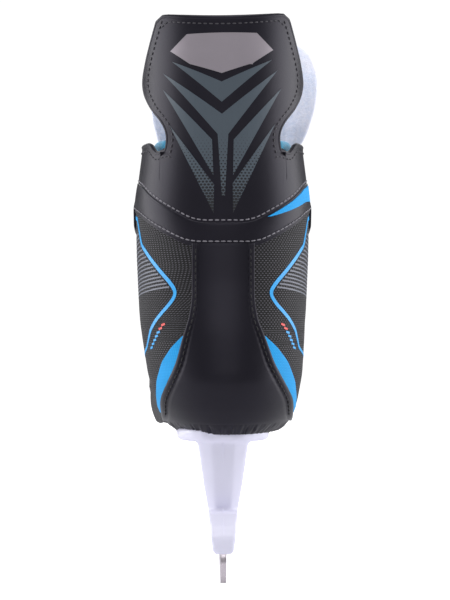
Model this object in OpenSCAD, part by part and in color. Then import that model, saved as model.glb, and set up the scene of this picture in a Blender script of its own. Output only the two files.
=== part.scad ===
// Recreational ice hockey skate, right foot.
// The boot is described by one outer surface, skin(t, z): t runs from 0 at the
// heel seam to 1 at the lacing edge (negative on the inner side), z is height.
// Every panel, pad and lining is a slab cut from that surface.

/* [Overall] */
// Overall length, heel to toe
skate_len = 306; // [270:1:340]
// Width across the ankles
ankle_w = 96; // [86:1:108]
// Height of the tendon guard above the heel seat
boot_h = 213; // [190:1:235]
// Height of the heel seat above the ice
heel_h = 79; // [72:1:90]

/* [Boot] */
// Thickness of the outer panels
skin_th = 1.2; // [0.8:0.1:1.6]
// Thickness of the stiff shell under the panels
shell_th = 2.4; // [1.6:0.1:3]
// Thickness of the lining
lining_th = 1.4; // [1:0.1:2]
// Greatest thickness of the ankle foam
foam_th = 6; // [3:0.5:8]
// Thickness of the tongue
tongue_th = 6; // [4:0.5:8]
// Thickness of the tendon guard
guard_th = 2.6; // [2:0.1:4]
// Thickness of the toe cap
cap_th = 3; // [2:0.5:4]
// Width of the eyelet facing
facing_w = 14; // [12:0.5:16]
// Radius of the eyelet bore
eyelet_r = 2.6; // [2.4:0.1:2.8]
// Eyelets on each side
eyelet_n = 8; // [6:1:9]
// Radius of the lace
lace_r = 1.5; // [1:0.1:1.8]

/* [Holder] */
// Thickness of the steel runner
runner_th = 3; // [2.6:0.1:3.4]
// Thickness of the holder's sole flange
flange_th = 6; // [4:0.5:8]
// Height of the runner's exposed steel
steel_h = 16.2; // [14:0.2:20]
// Depth of the runner inside its slot
slot_depth = 11; // [8:0.5:14]
// Radius of the anchor studs
stud_r = 3; // [2.5:0.1:3.5]
// Radius of the rivets
rivet_r = 2; // [1.6:0.1:2.4]

/* [Hidden] */

gap = 0.3;             // clearance between parts that move or stack
snug = 0.1;            // clearance between glued or seated parts
base_len = 306;        // sizes at which the profiles below are written
base_w = 96;
base_boot = 213;
base_heel = 79;
base_wall = 10.1;      // from the outside of the boot to the inside of its lining
arc_t = 0.4;           // value of t where the heel arc meets the side
arc_d = 50;            // depth of the heel arc, front to back
ball_z = 92;           // height of the widest line of the forefoot
arch_n = 2.4;          // roundness of the forefoot arch
seam_y = 75;           // where the toe cap begins
tip_y = 77;            // length of the toe cap
flex_z = 220;          // height of the tendon guard's flex line
collar_z = 226;        // height of the collar

// Places in real size from places in the written profiles
function px(x) = x * ankle_w / base_w;
function py(y) = y * skate_len / base_len;
function pz(z) = z > base_heel
  ? heel_h + (z - base_heel) * boot_h / base_boot
  : z * heel_h / base_heel;
function real(p) = [px(p[0]), py(p[1]), pz(p[2])];

function mix(a, b, k) = a + (b - a) * k;
function clamp(k) = max(0, min(1, k));
function ease(k) = let(c = clamp(k)) c * c * (3 - 2 * c);
function soft(v, tab, r) = (lookup(v - r, tab) + 2 * lookup(v, tab) + lookup(v + r, tab)) / 4;
function unit(v) = v / max(norm(v), 1e-9);

// Back of the heel, seen from the side
function heel_y(z) = soft(z, [[70, -134], [79, -140], [90, -148], [104, -151], [130, -147],
  [155, -141], [178, -138], [205, -139], [226, -141], [260, -145], [296, -149]], 4);
// Half width round the ankle
function ankle_x(z) = soft(z, [[70, 24], [79, 30.5], [84, 35], [92, 38], [107, 41.4], [126, 43.6],
  [140, 45], [169, 46.8], [198, 48], [212, 46.6], [226, 45], [250, 47], [296, 48]], 2);
// Half width of the forefoot
function ball_x(y) = soft(y, [[-80, 40], [-40, 39.5], [0, 41], [40, 45], [75, 47]], 8);
// Virtual top of the arch over the foot
function arch_z(y) = soft(y, [[-150, 700], [-80, 430], [-50, 310], [-30, 265], [-20, 246],
  [-14, 217], [-5, 187], [5, 167.5], [20, 152], [40, 141], [60, 132.5], [75, 127]], 3);
// Lacing edge: how far forward the opening is at each height
function front_y(z) = soft(z, [[79, 75], [124, 75], [131, 60], [139, 40], [149, 20], [163, 5],
  [180, -5], [205, -14], [226, -21]], 2);
// Level of the sole seat
function seat_z(y) = soft(y, [[-150, 79], [-50, 79], [10, 73], [60, 71], [110, 72], [150, 77]], 10);
// Sideways shift of the boot: the heel cup sits outward, the toe inward
function shift_x(y, z) = y < 0 ? 2.4 * clamp(-y / 60) * clamp((134 - z) / 50) : -5 * ease(y / 150);

// The part of the cross-section under the widest line
function under(z, y) = let(k = clamp((ball_z - z) / (ball_z - 66))) 1 - 0.3 * k * k;
function side_x(y, z) =
  let(k = ease((y + 70) / 90), b = mix(ankle_x(z), ball_x(y) * under(z, y), k),
      r = clamp((z - ball_z) / (arch_z(y) - ball_z)))
  b * pow(1 - pow(r, arch_n), 1 / arch_n);
function skin0(t, z) =
  let(s = t < 0 ? -1 : 1, a = abs(t), y1 = heel_y(z) + arc_d,
      y = a < arc_t ? y1 - arc_d * cos(90 * a / arc_t)
                    : mix(y1, front_y(z), (a - arc_t) / (1 - arc_t)),
      x = a < arc_t ? ankle_x(z) * sin(90 * a / arc_t) * side_x(y1, z) / ankle_x(z) : side_x(y, z),
      sole = mix(0, seat_z(y) - base_heel, ease((130 - z) / 50)))
  real([s * x + shift_x(y, z), y, z + sole]);
function face(t, z) =
  let(e = 0.004, a = skin0(t + e, z) - skin0(t - e, z), b = skin0(t, z + 0.5) - skin0(t, z - 0.5))
  unit(cross(a, b));
function skin(t, z, depth = 0) = skin0(t, z) - face(min(0.995, max(-0.995, t)), z) * depth;
// Value of t on the heel arc at a sideways distance, and at a distance from the lacing edge
function t_at(x, z) = arc_t / 90 * asin(min(0.999, x / side_x(heel_y(z) + arc_d, z)));
function t_in(z, d) = 1 - (1 - arc_t) * d / (front_y(z) - heel_y(z) - arc_d);

// Closed slab between two equal grids of points
module slab(outer, inner) {
  n = len(outer);
  m = len(outer[0]);
  all = n * m;
  pts = concat([for (r = outer) each r], [for (r = inner) each r]);
  quads = concat(
    [for (i = [0:n - 2], j = [0:m - 2]) [i * m + j, i * m + j + 1, (i + 1) * m + j + 1, (i + 1) * m + j]],
    [for (i = [0:n - 2], j = [0:m - 2])
      [all + i * m + j, all + (i + 1) * m + j, all + (i + 1) * m + j + 1, all + i * m + j + 1]],
    [for (i = [0:n - 2]) each [
      [i * m, (i + 1) * m, all + (i + 1) * m, all + i * m],
      [i * m + m - 1, all + i * m + m - 1, all + (i + 1) * m + m - 1, (i + 1) * m + m - 1]]],
    [for (j = [0:m - 2]) each [
      [j, all + j, all + j + 1, j + 1],
      [all - m + j, all - m + j + 1, 2 * all - m + j + 1, 2 * all - m + j]]]);
  tris = [for (q = quads) each [[q[0], q[1], q[2]], [q[0], q[2], q[3]]]];
  polyhedron(pts, tris);
}

// Outline functions of the back panels
function strip_t(z) = t_at(lookup(z, [[79, 33], [93, 34], [97, 32.6], [113, 24.5], [128, 20.4],
  [141, 15.6], [176, 15.6]]), z);
function flash_t(z) = t_at(lookup(z, [[79, 33.3], [88, 36.5], [96, 36.8], [104, 36], [114, 32.6],
  [122, 27], [128, 20.6], [180, 15.7]]), z);
function low_v(t) = lookup(abs(t), [[0, 174.5], [0.09, 174.5], [0.3, 191], [0.36, 193], [1, 204]]);
function high_v(t) = lookup(abs(t), [[0, 185.2], [0.075, 185.2], [0.3, 206], [0.36, 208], [1, 213]]);
function guard_x(z) = lookup(z, [[216, 31.5], [224, 29.5], [232, 28.6], [238, 31.5], [246, 37],
  [253, 40.3], [259, 41.2], [268, 40.4], [280, 37], [288, 34.4], [292, 32]]);
notch_t = t_at(32, 222);
function collar_top(t) = let(a = abs(t))
  mix(flex_z - gap, collar_z, ease((a - notch_t) / 0.07)) - 5 * ease((a - 0.8) / 0.15);
function facing_in(z) = facing_w * ease((z - 127) / 10) + 0.01;
part_t = 0.008;        // parting between neighbouring back panels, in t

// A panel over t from a(z) to b(z), and z from low(t) to high(t)
function panel(t0, t1, z0, z1, n, m, depth) = [for (i = [0:n]) [for (j = [0:m])
  let(t = mix(t0, t1, i / n), z = mix(z0, z1, j / m)) skin(t, z, depth)]];

// Heights of the rows shared by the quarters and the facings
rows_z = [79, 85, 92, 100, 110, 119, 126, 130, 134, 139, 145, 152, 161, 171, 182, 193, 204];
function quarter_t(z, k) = mix(flash_t(z) + part_t, t_in(z, facing_in(z) + gap), k);
module quarter(s) {
  n = 10;
  function top(k) = low_v(quarter_t(low_v(quarter_t(185, k)), k)) - 2 * gap;
  function grid(depth) = [for (i = [0:n]) [for (row = rows_z)
    let(k = s > 0 ? i / n : 1 - i / n,
        z = base_heel + (row - base_heel) * (top(k) - base_heel) / (204 - base_heel))
    skin(s * quarter_t(z, k), z, depth)]];
  slab(grid(0), grid(skin_th));
}

module flash(s) {
  n = 2;
  m = 6;
  function grid(depth) = [for (i = [0:n]) [for (j = [0:m])
    let(k = s > 0 ? i / n : 1 - i / n, z = mix(86, 127, j / m),
        t = mix(strip_t(z) + part_t, flash_t(z), k))
    skin(s * t, z, depth)]];
  slab(grid(0), grid(skin_th));
}

module strip() {
  n = 8;
  m = 12;
  function grid(depth) = [for (i = [0:n]) [for (j = [0:m])
    let(z = mix(base_heel, 174.2, j / m)) skin(strip_t(z) * (2 * i / n - 1), z, depth)]];
  slab(grid(-1.2), grid(skin_th));
}

function band_t(i, n) = (t_in(200, facing_w) - part_t) * (2 * i / n - 1);
module band(low, high, n, out) {
  function grid(depth) = [for (i = [0:n])
    [for (j = [0:1]) skin(band_t(i, n), mix(low[i], high[i], j), depth)]];
  slab(grid(-out), grid(skin_th));
}

module ankle_band() {
  n = 28;
  ts = [for (i = [0:n]) band_t(i, n)];
  band([for (t = ts) low_v(t)], [for (t = ts) high_v(t) - snug], n, 0.3);
}

module cuff() {
  m = 3;
  half = concat([0, 0.06, 0.12, 0.18, 0.22], [for (k = [0:4]) notch_t + 0.0175 * k],
    [0.4, 0.46, 0.54, 0.62, 0.7, 0.78, 0.86, t_in(215, facing_w) - part_t]);
  ts = concat([for (k = [len(half) - 1:-1:1]) -half[k]], half);
  function grid(depth) = [for (t = ts)
    [for (j = [0:m]) skin(t, mix(high_v(t) + gap, collar_top(t), j / m), depth)]];
  slab(grid(0.2), grid(guard_th));
}

module cuff_wedge() {
  n = 6;
  function grid(depth) = [for (i = [0:n]) let(t = mix(0.125, 0.33, i / n), h = high_v(t))
    [for (j = [0:1]) skin(t, mix(h - 0.6 - 9 * i / n, h - 0.2, j), depth)]];
  slab(grid(-1), grid(-0.35));
}

// Ankle overlay: a strap-like patch from the ankle to the lacing, proud of the panels
module overlay(s) {
  n = 10;
  m = 3;
  function grid(depth) = [for (i = [0:n]) [for (j = [0:m])
    let(k = s > 0 ? i / n : 1 - i / n, c = 191 + 9 * k, h = 13.5 * pow(sin(20 + 70 * min(1, 2.5 * k)), 0.8) - 5 * k,
        z = c + h * (2 * j / m - 1))
    skin(s * mix(0.4, t_in(z, facing_w + 1), k), z, depth)]];
  slab(grid(-1.4), grid(-0.4));
}

module shell(s) {
  n = 14;
  m = 9;
  function grid(depth) = [for (i = [0:n]) [for (j = [0:m])
    let(k = s > 0 ? i / n : 1 - i / n, z = mix(base_heel, 216, j / m),
        t = mix(0.004, t_in(z, facing_in(z) + 1), k))
    skin(s * t, z, depth)]];
  slab(grid(shell_in - shell_th), grid(shell_in));
}

layer_gap = 1.1;       // room for the facets of neighbouring curved layers
shell_in = guard_th + layer_gap + shell_th;
lining_out = shell_in + 2 * layer_gap + 0.4; // depth of the lining's outer face
lining_back = 3 + tongue_th;                 // how far the lining stops short of the facing
function swell(t, z) = foam_th * ease(1 - abs(abs(t) - 0.5) / 0.3) * ease(1 - abs(z - 185) / 42);

module ankle_foam(s) {
  n = 8;
  m = 6;
  function grid(full) = [for (i = [0:n]) [for (j = [0:m])
    let(k = s > 0 ? i / n : 1 - i / n, t = s * mix(0.22, 0.78, k), z = mix(145, 214, j / m))
    skin(t, z, shell_in + layer_gap + full * (0.4 + swell(t, z)))]];
  slab(grid(0), grid(1));
}

module lining() {
  n = 26;
  m = 10;
  function grid(extra) = [for (i = [0:n]) [for (j = [0:m])
    let(z = mix(91, 216, j / m), t = t_in(z, facing_in(z) + lining_back) * (2 * i / n - 1))
    skin(t, z, lining_out + swell(t, z) + extra)]];
  slab(grid(0), grid(lining_th));
}

eyelet_z = [for (i = [0:eyelet_n - 1]) mix(137, 213, pow(i / (eyelet_n - 1), 1.25))];
facing_out = 0.6;
facing_depth = 3.2;
facing_inset = 6.5;
eyelet_wall = 0.8;
module at_eyelet(s, z) {
  t = s * t_in(z, facing_inset);
  n = face(t, z);
  translate(skin0(t, z)) rotate([0, acos(n[2]), atan2(n[1], n[0])]) children();
}

facing_z = concat([for (z = rows_z) if (z >= 130) z], [213, 221]);
module facing(s) {
  n = 2;
  m = len(facing_z) - 1;
  function grid(depth) = [for (i = [0:n]) [for (j = [0:m])
    let(k = s > 0 ? i / n : 1 - i / n, z = facing_z[j], t = mix(t_in(z, facing_in(z)), 1, k))
    skin(s * t, z, depth)]];
  difference() {
    slab(grid(-facing_out), grid(facing_depth));
    for (z = eyelet_z) at_eyelet(s, z) cylinder(h = 16, r = eyelet_r + eyelet_wall + snug / 2, center = true, $fn = 24);
  }
}

module eyelets(s) {
  for (z = eyelet_z) at_eyelet(s, z) rotate_extrude($fn = 24) {
    translate([eyelet_r, -facing_depth]) square([eyelet_wall, facing_depth + facing_out + 2 * gap]);
    translate([eyelet_r, facing_out + 2 * gap]) square([1.8, 0.7]);
  }
}

// Toe cap: a dome on the forefoot's own cross-section
function cap_slice(k, inset) =
  let(y = seam_y + tip_y * k, w = (ball_x(seam_y) - inset) * pow(1 - pow(k, 2.7), 1 / 2.3),
      h = (arch_z(seam_y) - ball_z - inset) * pow(1 - pow(k, 2.6), 1 / 2.2))
  [for (a = [0:15:180]) let(c = cos(a), s = sin(a))
    real([sign(c) * w * pow(abs(c), 2 / arch_n) + shift_x(y, ball_z), y, ball_z + h * pow(s, 2 / arch_n)])];
module cap_dome(inset, back, low) {
  steps = [0, 0.3, 0.55, 0.75, 0.88, 0.96, 0.995];
  hull() for (k = steps) let(u = k == 0 ? -back / tip_y : k * (1 - inset / tip_y), r = cap_slice(max(u, 0), inset)) {
    pts = concat(r, [for (i = [len(r) - 1, 0]) [mix(r[i][0], px(shift_x(r[i][1], 80)), 0.1), r[i][1],
      pz(seat_z(seam_y + tip_y * u) + low)]]);
    translate([0, py(seam_y + tip_y * u), 0]) rotate([90, 0, 0])
      linear_extrude(0.05) polygon([for (p = pts) [p[0], p[2]]]);
  }
}
module toe_cap() {
  difference() {
    cap_dome(0, 0, 1);
    cap_dome(cap_th, 2, -3);
  }
}
module toe_rand() {
  n = 16;
  function rim(i, out, z) = let(a = 180 * i / n, k = min(0.999, sin(a)),
      w = (ball_x(seam_y) + out) * pow(1 - pow(k, 2.7), 1 / 2.3) * (a < 90 ? 1 : -1),
      y = seam_y + 1 + (tip_y + out) * k)
    real([0.93 * w + shift_x(y, 80), y, seat_z(y) + z]);
  slab([for (i = [0:n]) [rim(i, -0.5, -0.2), rim(i, -1.5, 0.8)]],
       [for (i = [0:n]) [rim(i, -7, -0.2), rim(i, -7, 0.8)]]);
}

// Flat layers under the foot, following the seat
function layer_x(y, y0, y1, inset) =
  let(u = clamp(abs(2 * (y - y0) / (y1 - y0) - 1)),
      b = soft(y, [[-150, 31], [-60, 31], [0, 33], [60, 41], [110, 41], [150, 34]], 12))
  (b - inset) * pow(1 - pow(u, 5), 1 / 2.4);
module layer(y0, y1, inset, low, high) {
  n = 22;
  function ring(z) = [for (i = [0:n])
    let(a = -89 + 178 * i / n, y = mix(y0, y1, (1 + sin(a)) / 2), w = layer_x(y, y0, y1, inset) + 0.3)
    [for (j = [-1:1:1]) real([-j * w + shift_x(y, 90), y, seat_z(y)]) + [0, 0, z]]];
  slab(ring(high), ring(low));
}

board_low = 2.2;
board_high = 4.4;
rivets_heel_at = [for (x = [-17, 17], y = [-108, -60]) [x, y]];
rivets_ball_at = [for (x = [-21, 21], y = [14, 60, 106]) [x, y]];
stud_at = [-90, 52];
pin_r = 1.4;
pin_z = steel_h + 5;
fork_low = steel_h + 1.4;
module rivet_holes(extra) {
  for (p = concat(rivets_heel_at, rivets_ball_at)) translate([px(p[0]), py(p[1]), 0])
    cylinder(h = heel_h + 30, r = rivet_r + extra, $fn = 24);
  for (y = stud_at) translate([0, py(y), 0]) cylinder(h = heel_h + 30, r = stud_r + extra, $fn = 32);
}
module outsole() {
  difference() {
    layer(-137, 141, 4, 0, board_low - snug);
    rivet_holes(snug);
  }
}
module lasting_board() {
  difference() {
    layer(-134, 136, 6.5, board_low, board_high);
    rivet_holes(snug);
  }
}
module footbed() {
  difference() {
    layer(-133, 134, 7.5, board_high + 2.8, board_high + 11.6);
    for (y = stud_at) translate([0, py(y), stud_top(y) - 5]) cylinder(h = 12.4, r = 3 * stud_r, $fn = 32);
  }
}
module rivet_group(at) {
  for (p = at) let(top = pz(seat_z(p[1])) + board_high + gap / 2,
      low = pz(seat_z(p[1])) - flange_th - 1.6) translate([px(p[0]), py(p[1]), 0]) {
    translate([0, 0, low]) cylinder(h = top - low + 1.2, r = rivet_r, $fn = 24);
    translate([0, 0, low - 1]) cylinder(h = 1, r = 2 * rivet_r, $fn = 24);
    translate([0, 0, top + 0.9]) cylinder(h = 1.2, r = 2 * rivet_r, $fn = 24);
  }
}

// Holder: two sole flanges, two pillars and the bridge that grips the runner
function flange_x(y, y0, y1, w0, w1) =
  let(u = clamp(abs(2 * (y - y0) / (y1 - y0) - 1)))
  mix(w0, w1, (y - y0) / (y1 - y0)) * pow(1 - pow(u, 4), 1 / 2.6);
module flange(y0, y1, w0, w1) {
  n = 14;
  function ring(z, f) = [for (i = [0:n])
    let(a = -88 + 176 * i / n, y = mix(y0, y1, (1 + sin(a)) / 2), w = flange_x(y, y0, y1, w0, w1) + 0.3)
    [for (j = [-1:1:1]) real([-j * w * f, y, seat_z(y)]) + [0, 0, z]]];
  slab(ring(-gap, 1), ring(-flange_th, 0.94));
}
bridge_low = steel_h;
bridge_top = 33;
module rod(y0, y1, w, z) {
  hull() for (y = [y0 + w, y1 - w]) translate([0, py(y), z]) cylinder(h = 0.2, r = w, $fn = 24);
}
module pillar(y0, y1, spread0, spread1, top) {
  hull() {
    rod(y0, y1, 6.4, bridge_top - 8);
    rod(y0 - spread0 / 3, y1 + spread1 / 3, 8.2, mix(bridge_top, top, 0.3));
  }
  hull() {
    rod(y0 - spread0 / 3, y1 + spread1 / 3, 8.2, mix(bridge_top, top, 0.3));
    rod(y0 - spread0, y1 + spread1, 12.3, top - 0.2);
  }
}
module holder() {
  difference() {
    union() {
      flange(-136, -34, 24, 23);
      flange(-8, 128, 27, 31);
      pillar(-118, -62, 10, 12, heel_h - flange_th + 1);
      pillar(26, 96, 14, 14, pz(71) - flange_th + 1);
      hull() {
        rod(-142, 132, 4.9, bridge_low);
        rod(-143, 133, 6.5, bridge_low + 9);
        rod(-140, 130, 5.5, bridge_top - 2);
      }
    }
    translate([-runner_th / 2 - snug / 2, -py(160), -1])
      cube([runner_th + snug, py(320), steel_h + slot_depth + snug + 1]);
    for (y = stud_at) translate([0, py(y), fork_low - snug]) cylinder(h = heel_h, r = stud_r + snug / 2, $fn = 32);
    for (p = concat(rivets_heel_at, rivets_ball_at)) translate([px(p[0]), py(p[1]), 30])
      cylinder(h = heel_h, r = rivet_r + snug, $fn = 24);
    for (p = concat(rivets_heel_at, rivets_ball_at)) translate([px(p[0]), py(p[1]), 0])
      cylinder(h = pz(seat_z(p[1])) - flange_th - 0.6 + 0.1, r = 2 * rivet_r + 0.6, $fn = 24);
  }
}

// Runner: flat middle, round heel and toe, two tabs with pin holes
module runner() {
  r0 = 13;
  r1 = 34;
  y0 = -py(152.4);
  y1 = py(149);
  rotate([90, 0, 90]) translate([0, 0, -runner_th / 2]) linear_extrude(runner_th) difference() {
    polygon(concat(
      [for (a = [180:15:270]) [y0 + r0 + r0 * cos(a), r0 + r0 * sin(a)]],
      [for (a = [270:10:340]) [y1 - r1 + r1 * cos(a), r1 + r1 * sin(a)]],
      [[y1 + 0.5, steel_h + 9], [y1 - 5, steel_h + slot_depth], [y0 + 8, steel_h + slot_depth],
       [y0 + 2, steel_h + 2]]));
    for (y = stud_at) translate([py(y), pin_z]) circle(r = pin_r + snug / 4, $fn = 24);
  }
}

// Studs that draw the runner up into the holder, forked over its edge
function stud_top(y) = pz(seat_z(y)) + board_high;
module anchor_studs() {
  for (y = stud_at) translate([0, py(y), 0]) difference() {
    translate([0, 0, fork_low]) cylinder(h = stud_top(y) + 6.4 - fork_low, r = stud_r, $fn = 32);
    translate([-runner_th / 2 - snug / 2, -2 * stud_r, fork_low - 1])
      cube([runner_th + snug, 4 * stud_r, steel_h + slot_depth + snug + 1 - fork_low]);
    translate([0, 0, pin_z]) rotate([0, 90, 0])
      cylinder(h = 4 * stud_r, r = pin_r + snug / 4, center = true, $fn = 24);
  }
}
module anchor_pins() {
  for (y = stud_at) translate([0, py(y), pin_z]) rotate([0, 90, 0])
    cylinder(h = 1.7 * stud_r, r = pin_r, center = true, $fn = 24);
}
module anchor_nuts() {
  for (y = stud_at) translate([0, py(y), stud_top(y) + gap]) {
    difference() {
      union() {
        cylinder(h = 1, r = 2.6 * stud_r, $fn = 32);
        translate([0, 0, 0.9]) cylinder(h = 4.1, r = 1.95 * stud_r, $fn = 6);
      }
      translate([0, 0, -1]) cylinder(h = 8, r = stud_r + snug / 2, $fn = 32);
    }
  }
}

// Tongue: a sheet swept along a path, its sides bent back round the shin
function tongue_n(path, i) = let(a = path[max(0, i - 1)], b = path[min(len(path) - 1, i + 1)],
    d = unit([b[0] - a[0], b[1] - a[1]])) [d[1], -d[0]];
function lean(p) = shift_x(p[0], 150) + 2.4 * ease((p[1] - 222) / 60);
function tongue_point(path, i, u, depth) =
  let(p = path[i], n = tongue_n(path, i), half = px(p[2] + base_wall) - lining_out - lining_th,
      k = p[3] * pow(abs(u) * half / px(p[2]), 2.2) + depth)
  real([lean(p), p[0], p[1]]) + [u * half, 0, 0] - k * [0, n[0], n[1]];
module tongue_sheet(path, d0, d1, inset = 0) {
  m = 10;
  function grid(depth) = [for (i = [0:len(path) - 1]) [for (j = [0:m])
    tongue_point(path, i, (1 - inset) * (2 * j / m - 1), depth)]];
  slab(grid(d0), grid(d1));
}
// Each row: forward place, height, half width, bend of the sides
tongue_low = [[86, 112, 15, 3], [64, 119, 19, 5], [40, 129.5, 22, 6], [20, 140.5, 24, 6.5],
  [4, 155, 25, 7], [-8, 174.5, 26, 7.5], [-17, 197.5, 27, 8], [-21.5, 220.5, 28, 8]];
tongue_high = [[-22, 221.6, 28, 8], [-23, 231, 31, 10], [-23, 241, 40, 12], [-21.5, 253, 46, 13.5],
  [-18, 266, 48, 13], [-13.5, 277, 45.5, 10], [-9.5, 285, 39, 7], [-7, 289.5, 27, 4]];
module tongue_base() tongue_sheet(tongue_low, 0, tongue_th);
module tongue_upper() tongue_sheet(tongue_high, 0, tongue_th / 2);
module tongue_felt() tongue_sheet(tongue_high, tongue_th / 2 + snug, tongue_th / 2 + 7, 0.015);

// Tendon guard, its pad and its plain emblem
module guard_patch(z0, z1, n, m, k, d0, d1) {
  function grid(depth) = [for (i = [0:n]) [for (j = [0:m])
    let(a = 2 * i / n - 1, z = mix(z0 + 2 * a * a, z1, j / m))
    skin(sign(a) * t_at(abs(a) * (guard_x(z) - k), z), z, depth)]];
  slab(grid(d0), grid(d1));
}
module tendon_guard() guard_patch(flex_z + gap, base_heel + base_boot, 12, 16, 0, 0, guard_th);
module guard_pad() guard_patch(flex_z + 4, 289, 10, 8, 3, guard_th + layer_gap, guard_th + 6.5);
module guard_emblem() {
  n = 8;
  function grid(depth) = [for (i = [0:n]) let(a = 2 * i / n - 1, h = 5.5 * sqrt(1 - 0.9 * pow(abs(a), 6)))
    [for (j = [-1:1]) skin(sign(a) * t_at(21 * abs(a), 274), 274 + h * j, depth)]];
  slab(grid(-0.7), grid(-snug));
}

// Lace: two strands that cross over the tongue and come up through the eyelets
lace_out = -(facing_out + 0.7 + lace_r + 0.3);
lace_in = facing_depth + lace_r + 0.2;
function eye(s, i, depth) = let(t = s * t_in(eyelet_z[i], facing_inset))
  skin0(t, eyelet_z[i]) - face(t, eyelet_z[i]) * depth;
function edge(s, z, depth) = skin(s * 0.998, z, depth);
function middle(z, lift) = (skin0(1, z) + skin0(-1, z)) / 2
  + unit(face(0.99, z) + face(-0.99, z)) * lift;
function strand(s0) = let(top = eyelet_n - 1, se = s0 * (top % 2 == 0 ? 1 : -1)) concat(
  [middle(eyelet_z[0], -3), edge(s0, eyelet_z[0], lace_in), eye(s0, 0, lace_in), eye(s0, 0, lace_out)],
  [for (i = [0:top - 1]) let(s = s0 * (i % 2 == 0 ? 1 : -1), a = eyelet_z[i], b = eyelet_z[i + 1])
    each [edge(s, mix(a, b, 0.3), -facing_out - lace_r - 0.2),
      middle(mix(a, b, 0.5), s > 0 ? 3.6 : 0),
      edge(-s, mix(a, b, 0.75), lace_in + 0.2), eye(-s, i + 1, lace_in), eye(-s, i + 1, lace_out)]],
  [edge(se, eyelet_z[top] + 1, -facing_out - lace_r - 0.2), middle(eyelet_z[top] + 1, 2)]);
// Each ring slides along its stretch to the plane that halves the next bend
function bend_at(pts, k) = let(a = pts[max(k, 1)] - pts[max(k, 1) - 1],
    b = k < len(pts) - 1 ? pts[k + 1] - pts[k] : a) unit(unit(a) + unit(b));
function sweep(pts, k, ring) = k == len(pts) ? [] :
  let(d = unit(pts[k] - pts[k - 1]), n = bend_at(pts, k),
      next = [for (p = ring) p + d * (((pts[k] - p) * n) / (d * n))])
  concat([next], sweep(pts, k + 1, next));
module tube(pts, sides = 6) {
  d = unit(pts[1] - pts[0]);
  side = unit(cross(d, [0.3, 1, 0.2]));
  up = cross(d, side);
  first = [for (q = [0:sides - 1]) pts[0] + lace_r * (cos(360 * q / sides) * side + sin(360 * q / sides) * up)];
  rings = concat([first], sweep(pts, 1, first));
  last = (len(pts) - 1) * sides;
  polyhedron([for (r = rings) each r], concat(
    [[for (q = [0:sides - 1]) q]],
    [for (k = [0:len(pts) - 2], q = [0:sides - 1]) let(w = (q + 1) % sides, o = k * sides)
      each [[o + q, o + sides + q, o + sides + w], [o + q, o + sides + w, o + w]]],
    [[for (q = [sides - 1:-1:0]) last + q]]));
}
module lace() {
  tube(strand(1));
  tube(strand(-1));
}

color("white") holder();
color("silver") runner();
color("gray") anchor_studs();
color("gray") anchor_pins();
color("gray") anchor_nuts();
color("silver") rivet_group(rivets_heel_at);  // rivets_heel
color("silver") rivet_group(rivets_ball_at);  // rivets_ball
color("dimgray") outsole();
color("tan") lasting_board();
color("steelblue") footbed();
color("#222228") strip();  // heel_counter
color("deepskyblue") flash(-1);  // heel_flash_left
color("deepskyblue") flash(1);  // heel_flash_right
color("#3a3a42") quarter(-1);  // quarter_left
color("#3a3a42") quarter(1);  // quarter_right
color("#151518") shell(-1);  // shell_left
color("#151518") shell(1);  // shell_right
color("khaki") ankle_foam(-1);  // ankle_foam_left
color("khaki") ankle_foam(1);  // ankle_foam_right
color("dodgerblue") lining();
color("#2c2c33") ankle_band();
color("#26262c") cuff();
color("deepskyblue") cuff_wedge();
color("#202025") overlay(-1);  // overlay_left
color("#202025") overlay(1);  // overlay_right
color("#1c1c20") facing(-1);  // facing_left
color("#1c1c20") facing(1);  // facing_right
color("silver") eyelets(-1);  // eyelets_left
color("silver") eyelets(1);  // eyelets_right
color("#1a1a1e") toe_cap();
color("#2a2a30") toe_rand();
color("lavender") tongue_base();
color("white") lace();
color("#26262c") tendon_guard();
color("dodgerblue") guard_pad();
color("silver") guard_emblem();
color("lavender") tongue_upper();
color("aliceblue") tongue_felt();
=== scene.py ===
import math

import bmesh
import bpy
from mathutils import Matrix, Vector, noise


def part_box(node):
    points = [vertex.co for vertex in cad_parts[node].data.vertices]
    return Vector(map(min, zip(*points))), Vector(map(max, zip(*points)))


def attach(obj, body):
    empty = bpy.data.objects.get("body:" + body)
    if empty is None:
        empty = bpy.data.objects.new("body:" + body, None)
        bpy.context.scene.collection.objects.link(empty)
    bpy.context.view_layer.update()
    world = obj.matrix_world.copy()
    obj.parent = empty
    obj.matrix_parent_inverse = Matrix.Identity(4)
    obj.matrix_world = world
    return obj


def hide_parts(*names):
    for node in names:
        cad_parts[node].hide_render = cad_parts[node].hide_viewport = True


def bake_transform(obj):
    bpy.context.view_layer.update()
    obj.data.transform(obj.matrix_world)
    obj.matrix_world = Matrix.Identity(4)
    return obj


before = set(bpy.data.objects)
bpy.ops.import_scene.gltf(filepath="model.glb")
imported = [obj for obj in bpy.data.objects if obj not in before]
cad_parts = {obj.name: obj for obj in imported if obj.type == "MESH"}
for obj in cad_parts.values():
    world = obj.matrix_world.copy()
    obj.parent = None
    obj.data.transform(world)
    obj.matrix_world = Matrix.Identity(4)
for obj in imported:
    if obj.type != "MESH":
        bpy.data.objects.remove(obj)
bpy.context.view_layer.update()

# ---------------------------------------------------------------- camera, floor and light
# The skate stands on a white sheet in a photographer's light tent, seen from
# straight behind the heel, with a tall softbox on each side and one overhead.
HEEL_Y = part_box("runner")[0].y                 # rearmost point of the steel
VIEW_DISTANCE = 1.0                            # lens to the heel
VIEW_HEIGHT = 0.306                            # height of the frame at the heel
VIEW_Z = 0.1462                                # lens above the ice
LENS_X, AIM_X = -0.008, 0.0008                 # the lens stands a little to the left
VIEW_SENSOR = 36.0
camera_data = bpy.data.cameras.new("view")
camera_data.sensor_width = VIEW_SENSOR
camera_data.lens = VIEW_SENSOR * VIEW_DISTANCE / VIEW_HEIGHT
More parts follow.
